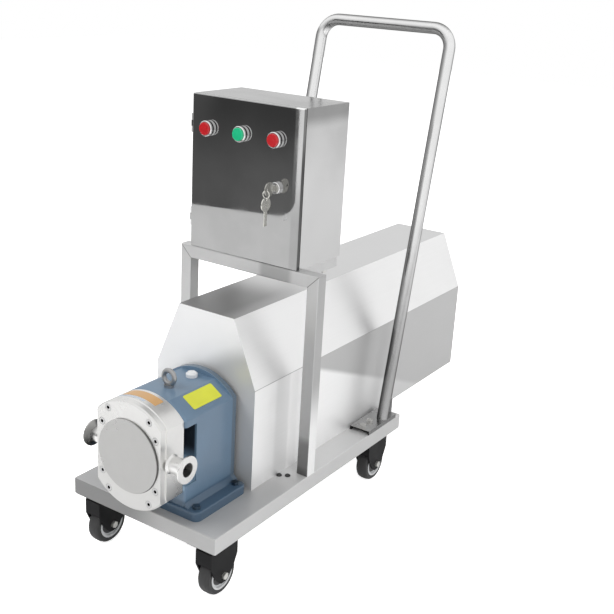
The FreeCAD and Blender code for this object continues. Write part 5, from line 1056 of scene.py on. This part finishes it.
orange = on_casing(-1.5 * MM, -488 * MM, 78 * MM, 22 * MM, 1.5 * MM)
finish_piece(orange, "orange_plate", orange_film)
pale = on_casing(-14 * MM, -504 * MM, 62 * MM, 6 * MM, 1.0 * MM)
finish_piece(pale, "pale_plate", pale_film)

# %% [markdown]
# Two button-head screws sit on the deck beside the hood. A head starts as a low cylinder, its
# skirt. Its top face is then extruded and shrunk in steps that follow an arc, and that makes the
# dome. A squashed ball would be quicker, but it has no skirt and no flat top.

# %% Screw head
SCREWS_AT = (Vector((125, -238)) * MM, Vector((139, -229)) * MM)
SCREW_RADIUS, SCREW_HEIGHT = 5.5 * MM, 4 * MM
SIDES = 24
SKIRT = 0.25 * SCREW_HEIGHT
DOME = (15, 30, 45, 60)

foot = Vector((*SCREWS_AT[0], tray_high.z * MM))
bpy.ops.object.select_all(action="DESELECT")
bpy.ops.mesh.primitive_cylinder_add(vertices=SIDES, radius=SCREW_RADIUS, depth=SKIRT,
                                    location=foot + Vector((0, 0, SKIRT / 2)))
screws = bpy.context.object
bpy.ops.object.mode_set(mode="EDIT")
pick(screws, "FACE", lambda face: face.normal.z > 0.9)
radius, height = SCREW_RADIUS, SKIRT
for angle in DOME:
    next_radius = SCREW_RADIUS * math.cos(math.radians(angle))
    next_height = SKIRT + (SCREW_HEIGHT - SKIRT) * math.sin(math.radians(angle))
    bpy.ops.mesh.extrude_region_move(
        TRANSFORM_OT_translate={"value": (0, 0, next_height - height)})
    shrink = next_radius / radius
    bpy.ops.transform.resize(value=(shrink, shrink, 1), center_override=foot)
    radius, height = next_radius, next_height
bpy.ops.object.mode_set(mode="OBJECT")
print("screw head:", round(screws.dimensions.z / MM, 2), "mm high")

# %% [markdown]
# The hexagon socket is cut as a tool would cut it: a six-sided prism is taken out of the head by a
# boolean modifier. The second screw is a copy of the first, beside it in the same piece. Both steps
# leave the faces in a new order on each run, so they are sorted at the end.

# %% Socket and second screw
SOCKET_CORNER = 0.42 * SCREW_RADIUS / math.cos(math.radians(30))
SOCKET_FLOOR = 0.3 * SCREW_HEIGHT

prism_middle = foot + Vector((0, 0, SOCKET_FLOOR + SCREW_HEIGHT / 2))
bpy.ops.object.select_all(action="DESELECT")
bpy.ops.mesh.primitive_cylinder_add(vertices=6, radius=SOCKET_CORNER, depth=SCREW_HEIGHT,
                                    location=prism_middle)
prism = bpy.context.object
bpy.ops.object.select_all(action="DESELECT")
screws.select_set(True)
bpy.context.view_layer.objects.active = screws
modify(screws, "BOOLEAN", object=prism, operation="DIFFERENCE")
bpy.data.objects.remove(prism)

bpy.ops.object.mode_set(mode="EDIT")
bpy.ops.mesh.select_all(action="SELECT")
bpy.ops.mesh.duplicate_move(
    TRANSFORM_OT_translate={"value": (*(SCREWS_AT[1] - SCREWS_AT[0]), 0)})
bpy.ops.mesh.select_all(action="SELECT")
bpy.ops.mesh.sort_elements(type="CURSOR_DISTANCE", elements={"VERT", "EDGE", "FACE"})
bpy.ops.object.mode_set(mode="OBJECT")
bpy.ops.object.shade_smooth()
finish_piece(screws, "deck_screws", screw_dark)

# %% [markdown]
